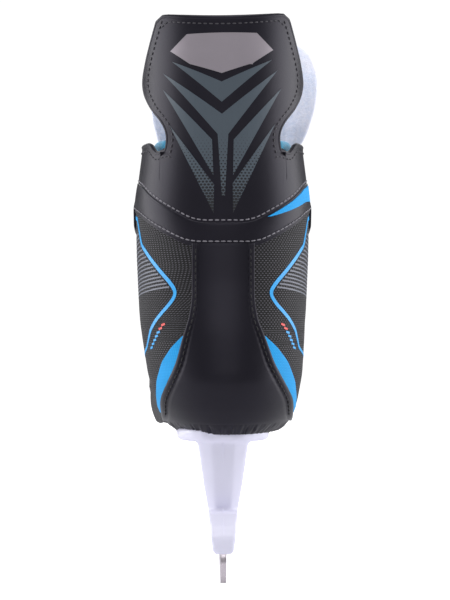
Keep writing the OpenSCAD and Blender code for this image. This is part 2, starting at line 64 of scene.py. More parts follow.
camera = bpy.data.objects.new("view", camera_data)
bpy.context.collection.objects.link(camera)
camera.location = (LENS_X, HEEL_Y - VIEW_DISTANCE, VIEW_Z)
aim = Vector((AIM_X, HEEL_Y, VIEW_Z)) - camera.location
camera.rotation_mode = "QUATERNION"
camera.rotation_quaternion = aim.to_track_quat("-Z", "Y")
bpy.context.scene.camera = camera
bpy.context.scene.view_settings.view_transform = "Standard"

bpy.ops.mesh.primitive_plane_add(size=40, location=(0, 0, 0))
floor = bpy.context.object
floor.name = "floor"
floor_paint = bpy.data.materials.new("floor_white")
floor_paint.use_nodes = True
floor_shader = floor_paint.node_tree.nodes["Principled BSDF"]
floor_shader.inputs["Base Color"].default_value = (0.50, 0.50, 0.52, 1)
floor_shader.inputs["Roughness"].default_value = 0.7
floor_shader.inputs["Emission Color"].default_value = (1, 1, 1, 1)      # lit from below, as a light table
floor_tree = floor_paint.node_tree
to_lens = floor_tree.nodes.new("ShaderNodeLightPath")
FLOOR_SEEN, FLOOR_LIT = 1.0, 0.35              # glow to the lens, and as light on the skate
glow = floor_tree.nodes.new("ShaderNodeMapRange")
glow.inputs["To Min"].default_value, glow.inputs["To Max"].default_value = FLOOR_LIT, FLOOR_SEEN
floor_tree.links.new(to_lens.outputs["Is Camera Ray"], glow.inputs["Value"])
floor_tree.links.new(glow.outputs["Result"], floor_shader.inputs["Emission Strength"])
floor.data.materials.append(floor_paint)


def softbox(name, place, target, width, height, power):
    lamp = bpy.data.lights.new(name, "AREA")
    lamp.shape = "RECTANGLE"
    lamp.size, lamp.size_y, lamp.energy = width, height, power
    box = bpy.data.objects.new(name, lamp)
    bpy.context.collection.objects.link(box)
    box.location = place
    box.rotation_euler = (Vector(target) - Vector(place)).to_track_quat("-Z", "Y").to_euler()


for side, label in ((-1, "left"), (1, "right")):
    softbox(label + "_softbox", (0.95 * side, 0.10, 0.25), (0, -0.12, 0.17), 0.9, 1.1, 11)
softbox("front_fill", (0, -1.6, 0.9), (0, -0.1, 0.15), 1.2, 0.5, 5)
softbox("top_softbox", (0, -0.35, 1.25), (0, -0.1, 0.15), 1.0, 0.9, 10)
softbox("back_softbox", (0, 1.2, 0.9), (0, 0, 0.15), 1.4, 0.9, 9)
TENT_LIGHT, SHEET_SEEN = 0.13, 1.05
world = bpy.data.worlds.new("white_tent")
world.use_nodes = True
world_tree = world.node_tree
tent = world_tree.nodes["Background"]
tent.inputs["Color"].default_value = (0.93, 0.94, 1.0, 1)
tent.inputs["Strength"].default_value = TENT_LIGHT
sheet = world_tree.nodes.new("ShaderNodeBackground")          # the white sheet behind it
sheet.inputs["Color"].default_value = (1, 1, 1, 1)
sheet.inputs["Strength"].default_value = SHEET_SEEN
seen = world_tree.nodes.new("ShaderNodeLightPath")
either = world_tree.nodes.new("ShaderNodeMixShader")
world_tree.links.new(seen.outputs["Is Camera Ray"], either.inputs[0])
world_tree.links.new(tent.outputs[0], either.inputs[1])
world_tree.links.new(sheet.outputs[0], either.inputs[2])
world_tree.links.new(either.outputs[0], world_tree.nodes["World Output"].inputs["Surface"])
bpy.context.scene.world = world

# ---------------------------------------------------------------- boot last
# Every panel of the upper is pulled over one last. on_last(t, z) is a point of
# its outer surface in millimetres: t runs from the heel seam (0) to the lacing
# edge (1), negative on the inner side of the foot, and z is the height.
MM = 0.001
SEAT = 79.0                     # heel seat above the ice
ARC_T, ARC_DEPTH = 0.4, 50.0    # the heel's arc: its share of t, and its depth
BALL_Z, ARCH_N = 92.0, 2.4      # where the foot is widest, and how square its arch is
WELD = 0.00001


def lookup(v, table):
    if v <= table[0][0]:
        return table[0][1]
    for (a, p), (b, q) in zip(table, table[1:]):
        if v <= b:
            return p + (q - p) * (v - a) / (b - a)
    return table[-1][1]


def soft(v, table, r):
    return (lookup(v - r, table) + 2 * lookup(v, table) + lookup(v + r, table)) / 4


def mix(a, b, k):
    return a + (b - a) * k


def clamp(k):
    return max(0.0, min(1.0, k))


def ease(k):
    k = clamp(k)
    return k * k * (3 - 2 * k)


HEEL_LINE = [(70, -134), (79, -140), (90, -148), (104, -151), (130, -147), (155, -141),
             (178, -138), (205, -139), (226, -141), (260, -145), (296, -149)]
ANKLE_HALF = [(70, 24), (79, 30.5), (84, 35), (92, 38), (107, 41.4), (126, 43.6), (140, 45),
              (169, 46.8), (198, 48), (212, 46.6), (226, 45), (250, 47), (296, 48)]
BALL_HALF = [(-80, 39), (-40, 37.5), (0, 38), (40, 41), (75, 43.5)]
ARCH_TOP = [(-150, 700), (-80, 430), (-50, 310), (-30, 265), (-20, 246), (-14, 217),
            (-5, 187), (5, 167.5), (20, 152), (40, 141), (60, 132.5), (75, 127)]
LACING_EDGE = [(79, 75), (124, 75), (131, 60), (139, 40), (149, 20), (163, 5), (180, -5),
               (205, -14), (226, -21)]
SEAT_LINE = [(-150, 79), (-50, 79), (10, 73), (60, 71), (110, 72), (150, 77)]


def heel_y(z):
    return soft(z, HEEL_LINE, 4)


def seat_z(y):
    return soft(y, SEAT_LINE, 10)


def shift_x(y, z):
    if y < 0:
        return 2.4 * clamp(-y / 60) * clamp((134 - z) / 50)
    return -1.0 * ease(y / 150)


def side_x(y, z):
    k = ease((y + 70) / 90)
    u = clamp((BALL_Z - z) / (BALL_Z - 66))
    base = mix(soft(z, ANKLE_HALF, 2), soft(y, BALL_HALF, 8) * (1 - 0.3 * u * u), k)
    r = clamp((z - BALL_Z) / (soft(y, ARCH_TOP, 3) - BALL_Z))
    return base * (1 - r ** ARCH_N) ** (1 / ARCH_N)


def last_point(t, z):
    s, a = (-1 if t < 0 else 1), abs(t)
    y1 = heel_y(z) + ARC_DEPTH
    if a < ARC_T:
        angle = math.radians(90 * a / ARC_T)
        y, x = y1 - ARC_DEPTH * math.cos(angle), math.sin(angle) * side_x(y1, z)
    else:
        y = mix(y1, soft(z, LACING_EDGE, 2), (a - ARC_T) / (1 - ARC_T))
        x = side_x(y, z)
    sole = (seat_z(y) - SEAT) * ease((130 - z) / 50)
    return Vector((s * x + shift_x(y, z), y, z + sole))


def outward(t, z):
    t, e = max(-0.994, min(0.994, t)), 0.004
    across = last_point(t + e, z) - last_point(t - e, z)
    return across.cross(last_point(t, z + 0.5) - last_point(t, z - 0.5)).normalized()


def on_last(t, z, depth=0.0):
    return last_point(t, z) - outward(t, z) * depth


def t_at(x, z):
    """Place on the heel arc at a sideways distance x."""
    return ARC_T / 90 * math.degrees(math.asin(min(0.999, x / side_x(heel_y(z) + ARC_DEPTH, z))))


def t_across(x, z):
    """The same to either side: x is signed."""
    return math.copysign(t_at(abs(x), z), x)


def t_from_edge(z, distance):
    """Place at a distance behind the lacing edge."""
    return 1 - (1 - ARC_T) * distance / (soft(z, LACING_EDGE, 2) - heel_y(z) - ARC_DEPTH)


def steps(a, b, n):
    return [mix(a, b, i / n) for i in range(n + 1)]


def circle(n):
    """Cosine and sine of n even turns."""
    return [(math.cos(2 * math.pi * k / n), math.sin(2 * math.pi * k / n)) for k in range(n)]


def select_only(obj):
    bpy.ops.object.select_all(action="DESELECT")
    obj.select_set(True)
    bpy.context.view_layer.objects.active = obj


def apply_modifier(obj, kind, **values):
    select_only(obj)
    m = obj.modifiers.new(kind.lower(), kind)
    for key, value in values.items():
        setattr(m, key, value)
    bpy.ops.object.modifier_apply(modifier=m.name)


def smooth_by_angle(obj, degrees):
    select_only(obj)
    bpy.ops.object.shade_smooth_by_angle(angle=math.radians(degrees))


def all_smooth(obj):
    for polygon in obj.data.polygons:
        polygon.use_smooth = True


def bevel(obj, width, segments, degrees):
    apply_modifier(obj, "BEVEL", width=width * MM, segments=segments, limit_method="ANGLE",
                   angle_limit=math.radians(degrees))


def thicken(obj, thickness):
    apply_modifier(obj, "SOLIDIFY", thickness=thickness * MM, offset=-1, use_rim=True)


def rework(mesh, *changes):
    """Runs changes such as weld on a mesh."""
    bm = bmesh.new()
    bm.from_mesh(mesh)
    for change in changes:
        change(bm)
    bm.to_mesh(mesh)
    bm.free()


def weld(bm, distance=WELD):
    bmesh.ops.remove_doubles(bm, verts=bm.verts, dist=distance)


def face_outwards(bm):
    bmesh.ops.recalc_face_normals(bm, faces=bm.faces)


def finished(obj, body, slot=None, *nodes):
    """Says which body a piece rides on and the nodes that it replaces; the slot is not used."""
    if body:
        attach(obj, body)
    if nodes:
        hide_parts(*nodes)
    return obj


def piece_from(name, points, faces, paint, body="boot", slot=None, uvs=None, smooth=40):
    """A mesh piece from points in millimetres, riding on a body."""
    mesh = bpy.data.meshes.new(name)
    mesh.from_pydata([Vector(p) * MM for p in points], [], faces)
    if uvs:
        layer = mesh.uv_layers.new(name="cloth")
        for loop in mesh.loops:
            layer.data[loop.index].uv = uvs[loop.vertex_index]
    obj = bpy.data.objects.new(name, mesh)
    bpy.context.collection.objects.link(obj)
    mesh.materials.append(paint)
    if smooth:
        smooth_by_angle(obj, smooth)
    return finished(obj, body, slot)


def sheet_of(name, rows, paint, thickness, rim=0.35, body="boot", slot=None):
    """A panel from rows of points, thickened inwards, with softly folded rims."""
    n, m = len(rows), len(rows[0])
    points = [p for row in rows for p in row]
    uvs = []
    for row in rows:
        run = row[0].x if abs(row[0].x) < abs(row[-1].x) else 0.0
        for j, p in enumerate(row):
            run += (p - row[j - 1]).length if j else 0.0
            uvs.append((run * MM, p.z * MM))
    faces = [(i * m + j, i * m + j + 1, (i + 1) * m + j + 1, (i + 1) * m + j)
             for i in range(n - 1) for j in range(m - 1)]
    obj = piece_from(name, points, faces, paint, None, slot, uvs, smooth=0)
    rework(obj.data, weld)
    thicken(obj, thickness)
    if rim:
        bevel(obj, rim, 2, 50)
    smooth_by_angle(obj, 50)
    return finished(obj, body)


def facing_way(rows, side):
    """Rows run the other way on the inner side, so that the faces look outwards."""
    return [row[::side] for row in rows]


# ---------------------------------------------------------------- finishes
# Two effects run through every finish: the slight blotchiness of any real
# surface, and a fine relief for grain. Each finish then adds its own weave.
def new_group(name, ins, outs):
    group = bpy.data.node_groups.new(name, "ShaderNodeTree")
    for label, kind in ins:
        group.interface.new_socket(name=label, in_out="INPUT", socket_type=kind)
    for label, kind in outs:
        group.interface.new_socket(name=label, in_out="OUTPUT", socket_type=kind)
    return group, group.nodes.new("NodeGroupInput"), group.nodes.new("NodeGroupOutput")


def node(tree, kind, **values):
    made = tree.nodes.new("ShaderNode" + kind)
    for key, value in values.items():
        if hasattr(made, key):
            setattr(made, key, value)
        else:
            made.inputs[key.replace("_", " ")].default_value = value
    return made


def math_node(tree, operation, a, b=None):
    made = tree.nodes.new("ShaderNodeMath")
    made.operation = operation
    for socket, value in zip(made.inputs, (a, b)):
        if value is None:
            continue
        if isinstance(value, (int, float)):
            socket.default_value = value
        else:
            tree.links.new(value, socket)
    return made.outputs[0]


def colour_mix(tree, factor, a, b, blend="MIX"):
    made = tree.nodes.new("ShaderNodeMix")
    made.data_type, made.blend_type = "RGBA", blend
    for socket, value in ((made.inputs[0], factor), (made.inputs[6], a), (made.inputs[7], b)):
        if isinstance(value, (int, float)):
            socket.default_value = value
        elif isinstance(value, tuple):
            socket.default_value = (*value, 1) if len(value) == 3 else value
        else:
            tree.links.new(value, socket)
    return made.outputs[2]


surface, surface_in, surface_out = new_group(
    "surface", [("Vector", "NodeSocketVector"), ("Colour", "NodeSocketColor"),
                ("Blotch", "NodeSocketFloat"), ("Roughness", "NodeSocketFloat"),
                ("Grain scale", "NodeSocketFloat")],
    [("Colour", "NodeSocketColor"), ("Roughness", "NodeSocketFloat"), ("Grain", "NodeSocketFloat")])
cloud = node(surface, "TexNoise", Scale=45.0, Detail=4.0)
surface.links.new(surface_in.outputs["Vector"], cloud.inputs["Vector"])
grain = node(surface, "TexNoise", Detail=3.0, Roughness=0.6)
surface.links.new(surface_in.outputs["Vector"], grain.inputs["Vector"])
surface.links.new(surface_in.outputs["Grain scale"], grain.inputs["Scale"])
shade = math_node(surface, "MULTIPLY", math_node(surface, "SUBTRACT", cloud.outputs["Fac"], 0.5),
                  surface_in.outputs["Blotch"])
bright = node(surface, "HueSaturation")
surface.links.new(surface_in.outputs["Colour"], bright.inputs["Color"])
surface.links.new(math_node(surface, "ADD", shade, 1.0), bright.inputs["Value"])
surface.links.new(bright.outputs["Color"], surface_out.inputs["Colour"])
rough_shift = math_node(surface, "MULTIPLY", math_node(surface, "SUBTRACT", grain.outputs["Fac"], 0.5), 0.25)
surface.links.new(math_node(surface, "ADD", surface_in.outputs["Roughness"], rough_shift),
                  surface_out.inputs["Roughness"])
surface.links.new(grain.outputs["Fac"], surface_out.inputs["Grain"])


def finish_of(name, colour, rough, blotch=0.35, grain_scale=1500, relief=0.12, depth=0.0002,
              metal=0.0, coat=0.0, sheen=0.0, spec=0.5, uv=False):
    """A finish with its own colour, grain and relief. Returns it with its tree's key nodes."""
    paint = bpy.data.materials.new(name)
    paint.use_nodes = True
    tree = paint.node_tree
    shader = tree.nodes["Principled BSDF"]
    place = node(tree, "TexCoord")
    group = node(tree, "Group", node_tree=surface)
    tree.links.new(place.outputs["UV" if uv else "Object"], group.inputs["Vector"])
    for socket, value in (("Colour", (*colour, 1)), ("Blotch", blotch), ("Roughness", rough),
                          ("Grain scale", grain_scale)):
        group.inputs[socket].default_value = value
    tree.links.new(group.outputs["Colour"], shader.inputs["Base Color"])
    tree.links.new(group.outputs["Roughness"], shader.inputs["Roughness"])
    bump = node(tree, "Bump", Strength=relief, Distance=depth)
    tree.links.new(group.outputs["Grain"], bump.inputs["Height"])
    tree.links.new(bump.outputs["Normal"], shader.inputs["Normal"])
    for socket, value in (("Metallic", metal), ("Coat Weight", coat), ("Coat Roughness", 0.15),
                          ("Sheen Weight", sheen), ("Specular IOR Level", spec)):
        shader.inputs[socket].default_value = value
    return paint, tree, shader, group, bump, place


# Woven cover: staggered short threads, read off the cloth's own UV map
weave, weave_in, weave_out = new_group(
    "weave", [("Vector", "NodeSocketVector"), ("Thread length", "NodeSocketFloat"),
              ("Thread width", "NodeSocketFloat")],
    [("Thread", "NodeSocketFloat"), ("Height", "NodeSocketFloat")])
split = node(weave, "SeparateXYZ")
weave.links.new(weave_in.outputs["Vector"], split.inputs[0])
row = math_node(weave, "DIVIDE", split.outputs["Y"], weave_in.outputs["Thread width"])
across = math_node(weave, "DIVIDE", split.outputs["X"], weave_in.outputs["Thread length"])
stagger = math_node(weave, "MULTIPLY", math_node(weave, "FLOOR", row), 0.5)
bead_x = math_node(weave, "SINE", math_node(weave, "MULTIPLY",
                   math_node(weave, "FRACT", math_node(weave, "ADD", across, stagger)), math.pi))
bead_y = math_node(weave, "SINE", math_node(weave, "MULTIPLY", math_node(weave, "FRACT", row), math.pi))
bead = math_node(weave, "MULTIPLY", bead_x, bead_y)
weave.links.new(math_node(weave, "POWER", bead, 3.4), weave_out.inputs["Thread"])
weave.links.new(math_node(weave, "POWER", bead, 0.6), weave_out.inputs["Height"])


def woven_finish(name, ground, thread, length, width, relief=0.6, depth=0.0003):
    """Threads of one colour, each so long and so wide in metres, over a ground."""
    paint, tree, _, group, bump, place = finish_of(name, ground, 0.65, relief=relief, depth=depth,
                                                   sheen=0.03, spec=0.25, uv=True)
    cloth = node(tree, "Group", node_tree=weave)
    cloth.inputs["Thread length"].default_value = length
    cloth.inputs["Thread width"].default_value = width
    tree.links.new(place.outputs["UV"], cloth.inputs["Vector"])
    tint = colour_mix(tree, cloth.outputs["Thread"], ground, thread)
    tree.links.new(tint, group.inputs["Colour"])
    tree.links.new(cloth.outputs["Height"], bump.inputs["Height"])
    return paint


BLACK_PU = (0.007, 0.0065, 0.010)
pu_black = finish_of("pu_black", BLACK_PU, 0.40, 0.5, 2600, 0.25, 0.00012, spec=0.28)[0]
pu_black.node_tree.nodes["Principled BSDF"].inputs["Specular Tint"].default_value = (0.86, 0.82, 1.0, 1)
SLATE, SKY_BLUE, SIGNAL_RED = (0.062, 0.083, 0.105), (0.006, 0.36, 0.83), (0.78, 0.055, 0.05)
mesh_black = woven_finish("mesh_black", (0.0025, 0.0025, 0.003), (0.115, 0.11, 0.13), 0.0021, 0.0011)
mesh_blue = woven_finish("mesh_blue", (0.004, 0.31, 0.74), (0.02, 0.46, 0.92), 0.0013, 0.0008,
                         relief=0.35, depth=0.00015)
film_blue = finish_of("film_blue", SKY_BLUE, 0.42, 0.15, 2500, 0.15)[0]
film_red = finish_of("film_red", SIGNAL_RED, 0.42, 0.15, 2500, 0.15)[0]
film_grey = finish_of("film_grey", (0.15, 0.16, 0.20), 0.5, 0.2, 2500, 0.15)[0]
thread_grey = finish_of("thread_grey", (0.22, 0.21, 0.24), 0.6, 0.5, 5000, 0.5)[0]
thread_dim = finish_of("thread_dim", (0.055, 0.052, 0.062), 0.6, 0.5, 5000, 0.5)[0]
thread_black = finish_of("thread_black", (0.010, 0.010, 0.012), 0.55, 0.5, 5000, 0.5)[0]

# ---------------------------------------------------------------- tendon guard and cuff
# One sheet of black coated leather, moulded round the Achilles tendon. It is cut
# with a notch on each side so that its top can flex, bound along its free edge,
# and printed with chevrons that break up into dots towards the seam.
FLEX_Z = 220.0
GUARD_TOP, COLLAR_Z = 292.0, 226.0
GUARD_HALF = [(216, 33), (222, 31.4), (227, 29.9), (233, 29.7), (239, 32.2), (247, 38.4),
              (254, 41.9), (260, 43.1), (265, 42.8), (273, 41.0), (281, 38.6), (291, 35.4),
              (296, 33.6)]
V_LOW = [(0, 174.5), (0.075, 174.5), (0.11, 175.6), (0.3, 191), (0.36, 193.4), (1, 204)]
V_HIGH = [(0, 185.2), (0.06, 185.2), (0.095, 186.6), (0.3, 205.4), (0.36, 208), (1, 213)]
ROOT_Z = FLEX_Z + 3.6                   # where the guard's free sides begin
NECK_HALF, NECK_Z = 31.9, 200
NOTCH_T = t_at(32, 222)
FACING_W = 14.0
FACING_T = t_from_edge(214, FACING_W)


def v_low(t):
    """Height of the ankle band's lower seam; v_high is its upper one."""
    return soft(abs(t), V_LOW, 0.012)


def v_high(t):
    return soft(abs(t), V_HIGH, 0.012)


def collar_top(t):
    rise = ease((abs(t) - 0.238) / 0.055)
    return mix(ROOT_Z, COLLAR_Z + 2.6, rise) - 5 * ease((abs(t) - 0.8) / 0.15)


def guard_half(z):
    return soft(z, GUARD_HALF, 2.2)


def top_edge(a):
    """The guard's top dips in the middle and rounds off at its corners: a runs from -1 to 1."""
    return GUARD_TOP - 0.8 + 3.6 * a * a + 0.4 * a - 2.6 * max(0.0, (abs(a) - 0.88) / 0.12) ** 2


def flex_with_guard(obj):
    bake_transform(obj)


def back_sheet(name, depth, thickness, paint, slot_name):
    """The guard and cuff in one: a middle that runs up to the guard's top, and two wings."""
    low, high = 12, 46
    columns = steps(-1, 1, 48)
    points, faces, index = [], [], {}

    def add(key, p):
        index[key] = len(points)
        points.append(p)

    for i, a in enumerate(columns):
        for j in range(low + high + 1):
            if j <= low:
                t_low = t_across(a * NECK_HALF, NECK_Z)
                z = mix(v_high(t_low), ROOT_Z, j / low)
                t = mix(t_low, t_across(a * guard_half(z), z), ease(j / low))
            else:
                z = mix(ROOT_Z, top_edge(a), (j - low) / high)
                t = t_across(a * guard_half(z), z)
            add(("mid", i, j), on_last(t, z, depth))
    for i in range(len(columns) - 1):
        for j in range(low + high):
            faces.append([index[("mid", i, j)], index[("mid", i + 1, j)],
                          index[("mid", i + 1, j + 1)], index[("mid", i, j + 1)]])
    edge_t, neck_t = t_at(guard_half(ROOT_Z), ROOT_Z), t_at(NECK_HALF, NECK_Z)
    wing = [mix(edge_t, FACING_T, (k / 60) ** 1.5) for k in range(61)]
    for side in (-1, 1):
        first = 0 if side < 0 else len(columns) - 1
        for j in range(low + 1):
            index[(side, 0, j)] = index[("mid", first, j)]
        for k, t in enumerate(wing[1:], 1):
            base = mix(neck_t, t, min(1, k / 6))
            for j in range(low + 1):
                tt = mix(base, t, ease(j / low))
                z = mix(v_high(base), collar_top(t), j / low)
                add((side, k, j), on_last(side * tt, z, depth))
        for k in range(len(wing) - 1):
            for j in range(low):
                quad = [index[(side, k, j)], index[(side, k + 1, j)],
                        index[(side, k + 1, j + 1)], index[(side, k, j + 1)]]
                faces.append(quad if side > 0 else quad[::-1])
    obj = piece_from(name, points, faces, paint, None, slot_name, smooth=0)
    thicken(obj, thickness)
    bevel(obj, 0.5, 3, 50)
    smooth_by_angle(obj, 50)
    return obj


back_panel = back_sheet("tendon_guard_panel", 0.0, 2.4, pu_black, "pu_black")
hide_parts("tendon_guard", "cuff")
flex_with_guard(back_panel)


def free_edge(inset):
    """The free edge from the left collar, round the guard, to the right collar."""
    path = []
    for k in range(40, 0, -1):
        t = mix(NOTCH_T * 0.99, 0.93, k / 40)
        path.append((-t, collar_top(t) - inset))
    turn_z = GUARD_TOP - 1.1
    zs = steps(ROOT_Z, turn_z, 46)
    left = [(-t_at(guard_half(z) - inset + turn, z), z + turn - inset) for z, turn in
            ((zs[0], 1.2), (zs[0] + 0.3, 0.35))]
    left += [(-t_at(guard_half(z) - inset, z), z) for z in zs[1:]]
    across = []
    for k in range(25):
        a = -1 + k / 12
        reach = guard_half(turn_z) - inset
        z = top_edge(a) - inset
        across.append((t_across(a * (reach - 0.6 * abs(a) ** 8), z), z))
    right = [(-t, z) for t, z in left[::-1]]
    return path + left + across + right + [(-t, z) for t, z in path[::-1]]


def cord_of(name, points, radius, paint, body="boot", slot_name=None):
    """A round piping laid along points in millimetres."""
    curve = bpy.data.curves.new(name, "CURVE")
    curve.dimensions = "3D"
    spline = curve.splines.new("POLY")
    spline.points.add(len(points) - 1)
    for knot, p in zip(spline.points, points):
        knot.co = (*(Vector(p) * MM), 1)
    curve.bevel_depth = radius * MM
    curve.bevel_resolution = 3
    curve.use_fill_caps = True
    obj = bpy.data.objects.new(name, curve)
    bpy.context.collection.objects.link(obj)
    select_only(obj)
    bpy.ops.object.convert(target="MESH")
    obj = bpy.context.object
    obj.data.materials.clear()
    obj.data.materials.append(paint)
    all_smooth(obj)
    return finished(obj, body, slot_name)


def stitches(name, path, paint, body="boot", length=2.3, pitch=3.3, radius=0.32, lift=0.25):
    """A row of short stitches along (t, z) places on the last, each a small bean."""
    spots = [(on_last(t, z, -lift), outward(t, z)) for t, z in path]
    run, knots = 0.0, [0.0]
    for (p, _), (q, _) in zip(spots, spots[1:]):
        run += (q - p).length
        knots.append(run)
    points, faces = [], []
    count = int(run / pitch)
    for k in range(count):
        mid = (k + 0.5) * run / count
        i = max(j for j in range(len(knots)) if knots[j] <= mid)
        i = min(i, len(spots) - 2)
        f = (mid - knots[i]) / max(1e-6, knots[i + 1] - knots[i])
        centre = spots[i][0].lerp(spots[i + 1][0], f)
        along = (spots[i + 1][0] - spots[i][0]).normalized()
        up = spots[i][1]
        side = along.cross(up).normalized()
        base = len(points)
        for station, size in ((-0.5, 0.35), (-0.3, 0.95), (0.3, 0.95), (0.5, 0.35)):
            sink = up * (-0.35 * (abs(station) > 0.4))
            points += [centre + along * length * station + sink + (side * c + up * s) * radius * size
                       for c, s in circle(6)]
        for ring in (base, base + 6, base + 12):
            faces += [[ring + q, ring + (q + 1) % 6, ring + (q + 1) % 6 + 6, ring + q + 6] for q in range(6)]
        faces.append([base + q for q in range(5, -1, -1)])
        faces.append([base + 18 + q for q in range(6)])
    return piece_from(name, points, faces, paint, body, smooth=80)


flex_with_guard(cord_of("guard_binding", [on_last(t, z, 1.1) for t, z in free_edge(0.4)], 1.35, pu_black,
                        None, "pu_black"))
flex_with_guard(stitches("guard_edge_stitching", free_edge(3.4), thread_dim, None, 2.0, 3.0, 0.34, 0.2))


def film(name, outline, paint, lift=0.12, slot_name=None, cell=2.5, thickness=0.1):
    """A thin print or plate: an outline of (x, z) as seen from behind, laid on the last."""
    bm = bmesh.new()
    bm.faces.new([bm.verts.new((x, 0, z)) for x, z in outline])
    for axis, normal in ((0, (1, 0, 0)), (2, (0, 0, 1))):
        low = min(v.co[axis] for v in bm.verts)
        high = max(v.co[axis] for v in bm.verts)
        for k in range(int(low // cell) + 1, int(high // cell) + 1):
            bmesh.ops.bisect_plane(bm, geom=bm.verts[:] + bm.edges[:] + bm.faces[:],
                                   plane_co=Vector(normal) * (k * cell), plane_no=normal)
    bmesh.ops.triangulate(bm, faces=[f for f in bm.faces if len(f.verts) > 4])
    bm.verts.index_update()
    flat = [v.co.copy() for v in bm.verts]
    faces = [[v.index for v in f.verts] for f in bm.faces]
    bm.free()
    points = []
    for p in flat:
        points.append(on_last(t_across(p.x - shift_x(-140, p.z), p.z), p.z, -lift))
    normal = (points[faces[0][1]] - points[faces[0][0]]).cross(points[faces[0][2]] - points[faces[0][0]])
    if normal.y > 0:
        faces = [f[::-1] for f in faces]
    obj = piece_from(name, points, faces, paint, None, slot_name, [(p.x * MM, p.z * MM) for p in flat], 0)
    thicken(obj, thickness)
    return obj


def ribbon(name, path, width, paint, lift=0.12):
    """A thin band along (t, z) places, its width in millimetres a number or a function of 0 to 1."""
    spots = [(on_last(t, z, -lift), outward(t, z)) for t, z in path]
    points, faces, uvs, run = [], [], [], 0.0
    for i, (p, up) in enumerate(spots):
        before, after = spots[max(0, i - 1)][0], spots[min(len(spots) - 1, i + 1)][0]
        run += (p - before).length
        side = (after - before).cross(up).normalized()
        half = (width(i / (len(spots) - 1)) if callable(width) else width) / 2
        points += [p - side * half, p + side * half]
        uvs += [(-half * MM, run * MM), (half * MM, run * MM)]
        if i:
            faces.append([2 * i - 2, 2 * i - 1, 2 * i + 1, 2 * i])
    a, b, c = (points[k] for k in faces[0][:3])
    if (b - a).cross(c - b).dot(spots[0][1]) < 0:
        faces = [f[::-1] for f in faces]
    obj = piece_from(name, points, faces, paint, None, None, uvs, 0)
    thicken(obj, 0.1)
    return finished(obj, "boot")


# Printed chevrons: slate ink that breaks up into black dots lower down
ink, ink_tree, _, ink_group, _, ink_place = finish_of("guard_ink", SLATE, 0.5, 0.15, 3000, 0.1, uv=True)
ink_at = node(ink_tree, "SeparateXYZ")
ink_tree.links.new(ink_place.outputs["UV"], ink_at.inputs[0])
DOT_PITCH = 0.0019                          # metres, as the ink's UV map is
DOTS_TOP, DOTS_RUN = 0.2355, 0.050          # the dots begin here and grow on the way down
dot_row = math_node(ink_tree, "DIVIDE", ink_at.outputs["Y"], DOT_PITCH * 0.8)
dot_col = math_node(ink_tree, "ADD", math_node(ink_tree, "DIVIDE", ink_at.outputs["X"], DOT_PITCH),
                    math_node(ink_tree, "MULTIPLY", math_node(ink_tree, "FLOOR", dot_row), 0.5))
dot_x = math_node(ink_tree, "SUBTRACT", math_node(ink_tree, "FRACT", dot_col), 0.5)
dot_y = math_node(ink_tree, "SUBTRACT", math_node(ink_tree, "FRACT", dot_row), 0.5)
dot_xx, dot_yy = (math_node(ink_tree, "MULTIPLY", d, d) for d in (dot_x, dot_y))
dot_far = math_node(ink_tree, "SQRT", math_node(ink_tree, "ADD", dot_xx, dot_yy))
dot_size = math_node(ink_tree, "MULTIPLY", math_node(ink_tree, "DIVIDE",
                     math_node(ink_tree, "SUBTRACT", DOTS_TOP, ink_at.outputs["Y"]), DOTS_RUN), 0.66)
dot_mask = math_node(ink_tree, "LESS_THAN", dot_far, dot_size)
ink_tree.links.new(colour_mix(ink_tree, dot_mask, SLATE, BLACK_PU), ink_group.inputs["Colour"])

PRINTS = {
    "chevron_top": [(-26.5, 269.6), (-0.8, 248.2), (25.2, 270.5), (-0.9, 258.5)],
    "chevron_stem": [(-31.2, 264), (-2.9, 231.8), (-0.7, 200), (0.9, 200), (2.6, 231.8), (28.2, 265.4),
                     (-0.7, 242.1)],
    "wing_left": [(-31.5, 255.9), (-5.1, 210.7), (-5.8, 229)],
    "wing_right": [(30.3, 256.4), (5.4, 229), (5.1, 210.7)],
    "edge_left": [(-27.9, 237.2), (-5, 191.2), (-4.7, 205.8)],
    "edge_right": [(27.1, 238), (4.9, 206.5), (5.1, 191.2)],
}
for name, outline in PRINTS.items():
    flex_with_guard(film("print_" + name, outline, ink))

silver = finish_of("silver_plate", (0.30, 0.27, 0.30), 0.45, 0.3, 1800, 0.12, metal=0.35)[0]
EMBLEM = [(-18.5, 283), (17, 283.6), (25.5, 275.6), (15, 268.2), (-0.8, 262.8), (-17, 267.8), (-27, 275)]
EMBLEM_TH = 0.65
emblem = film("guard_emblem_plate", EMBLEM, silver, EMBLEM_TH, "emblem_silver", 1.5, EMBLEM_TH)
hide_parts("guard_emblem")
flex_with_guard(emblem)

# ---------------------------------------------------------------- seams of the cuff and the ankle band
# A folded band runs round the ankle under the cuff. Both of its seams dip to a
# flat V at the heel and are sewn in light grey thread.
across = steps(-FACING_T, FACING_T, 150)
SEAM = dict(paint=thread_grey, radius=0.36, length=2.5, pitch=3.2)
band_rows = [[on_last(t, mix(v_low(t), v_high(t) + 1.2, j / 7), -0.35 - 0.35 * math.sin(math.pi * j / 7))
              for t in across] for j in range(8)]
band = sheet_of("ankle_band_strip", band_rows, pu_black, 1.4, 0.5, slot="pu_black")
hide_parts("ankle_band")
stitches("cuff_seam_stitching", [(t, v_high(t) + 2.4) for t in across], lift=0.1, **SEAM)
stitches("band_seam_stitching", [(t, v_low(t) + 2.0) for t in across], lift=0.8, **SEAM)
cord_of("cuff_folded_edge", [on_last(t, v_high(t) + 0.4, 0.5) for t in across], 0.95, pu_black)
cord_of("band_folded_edge", [on_last(t, v_low(t) + 0.1, 0.3) for t in across], 0.8, pu_black)

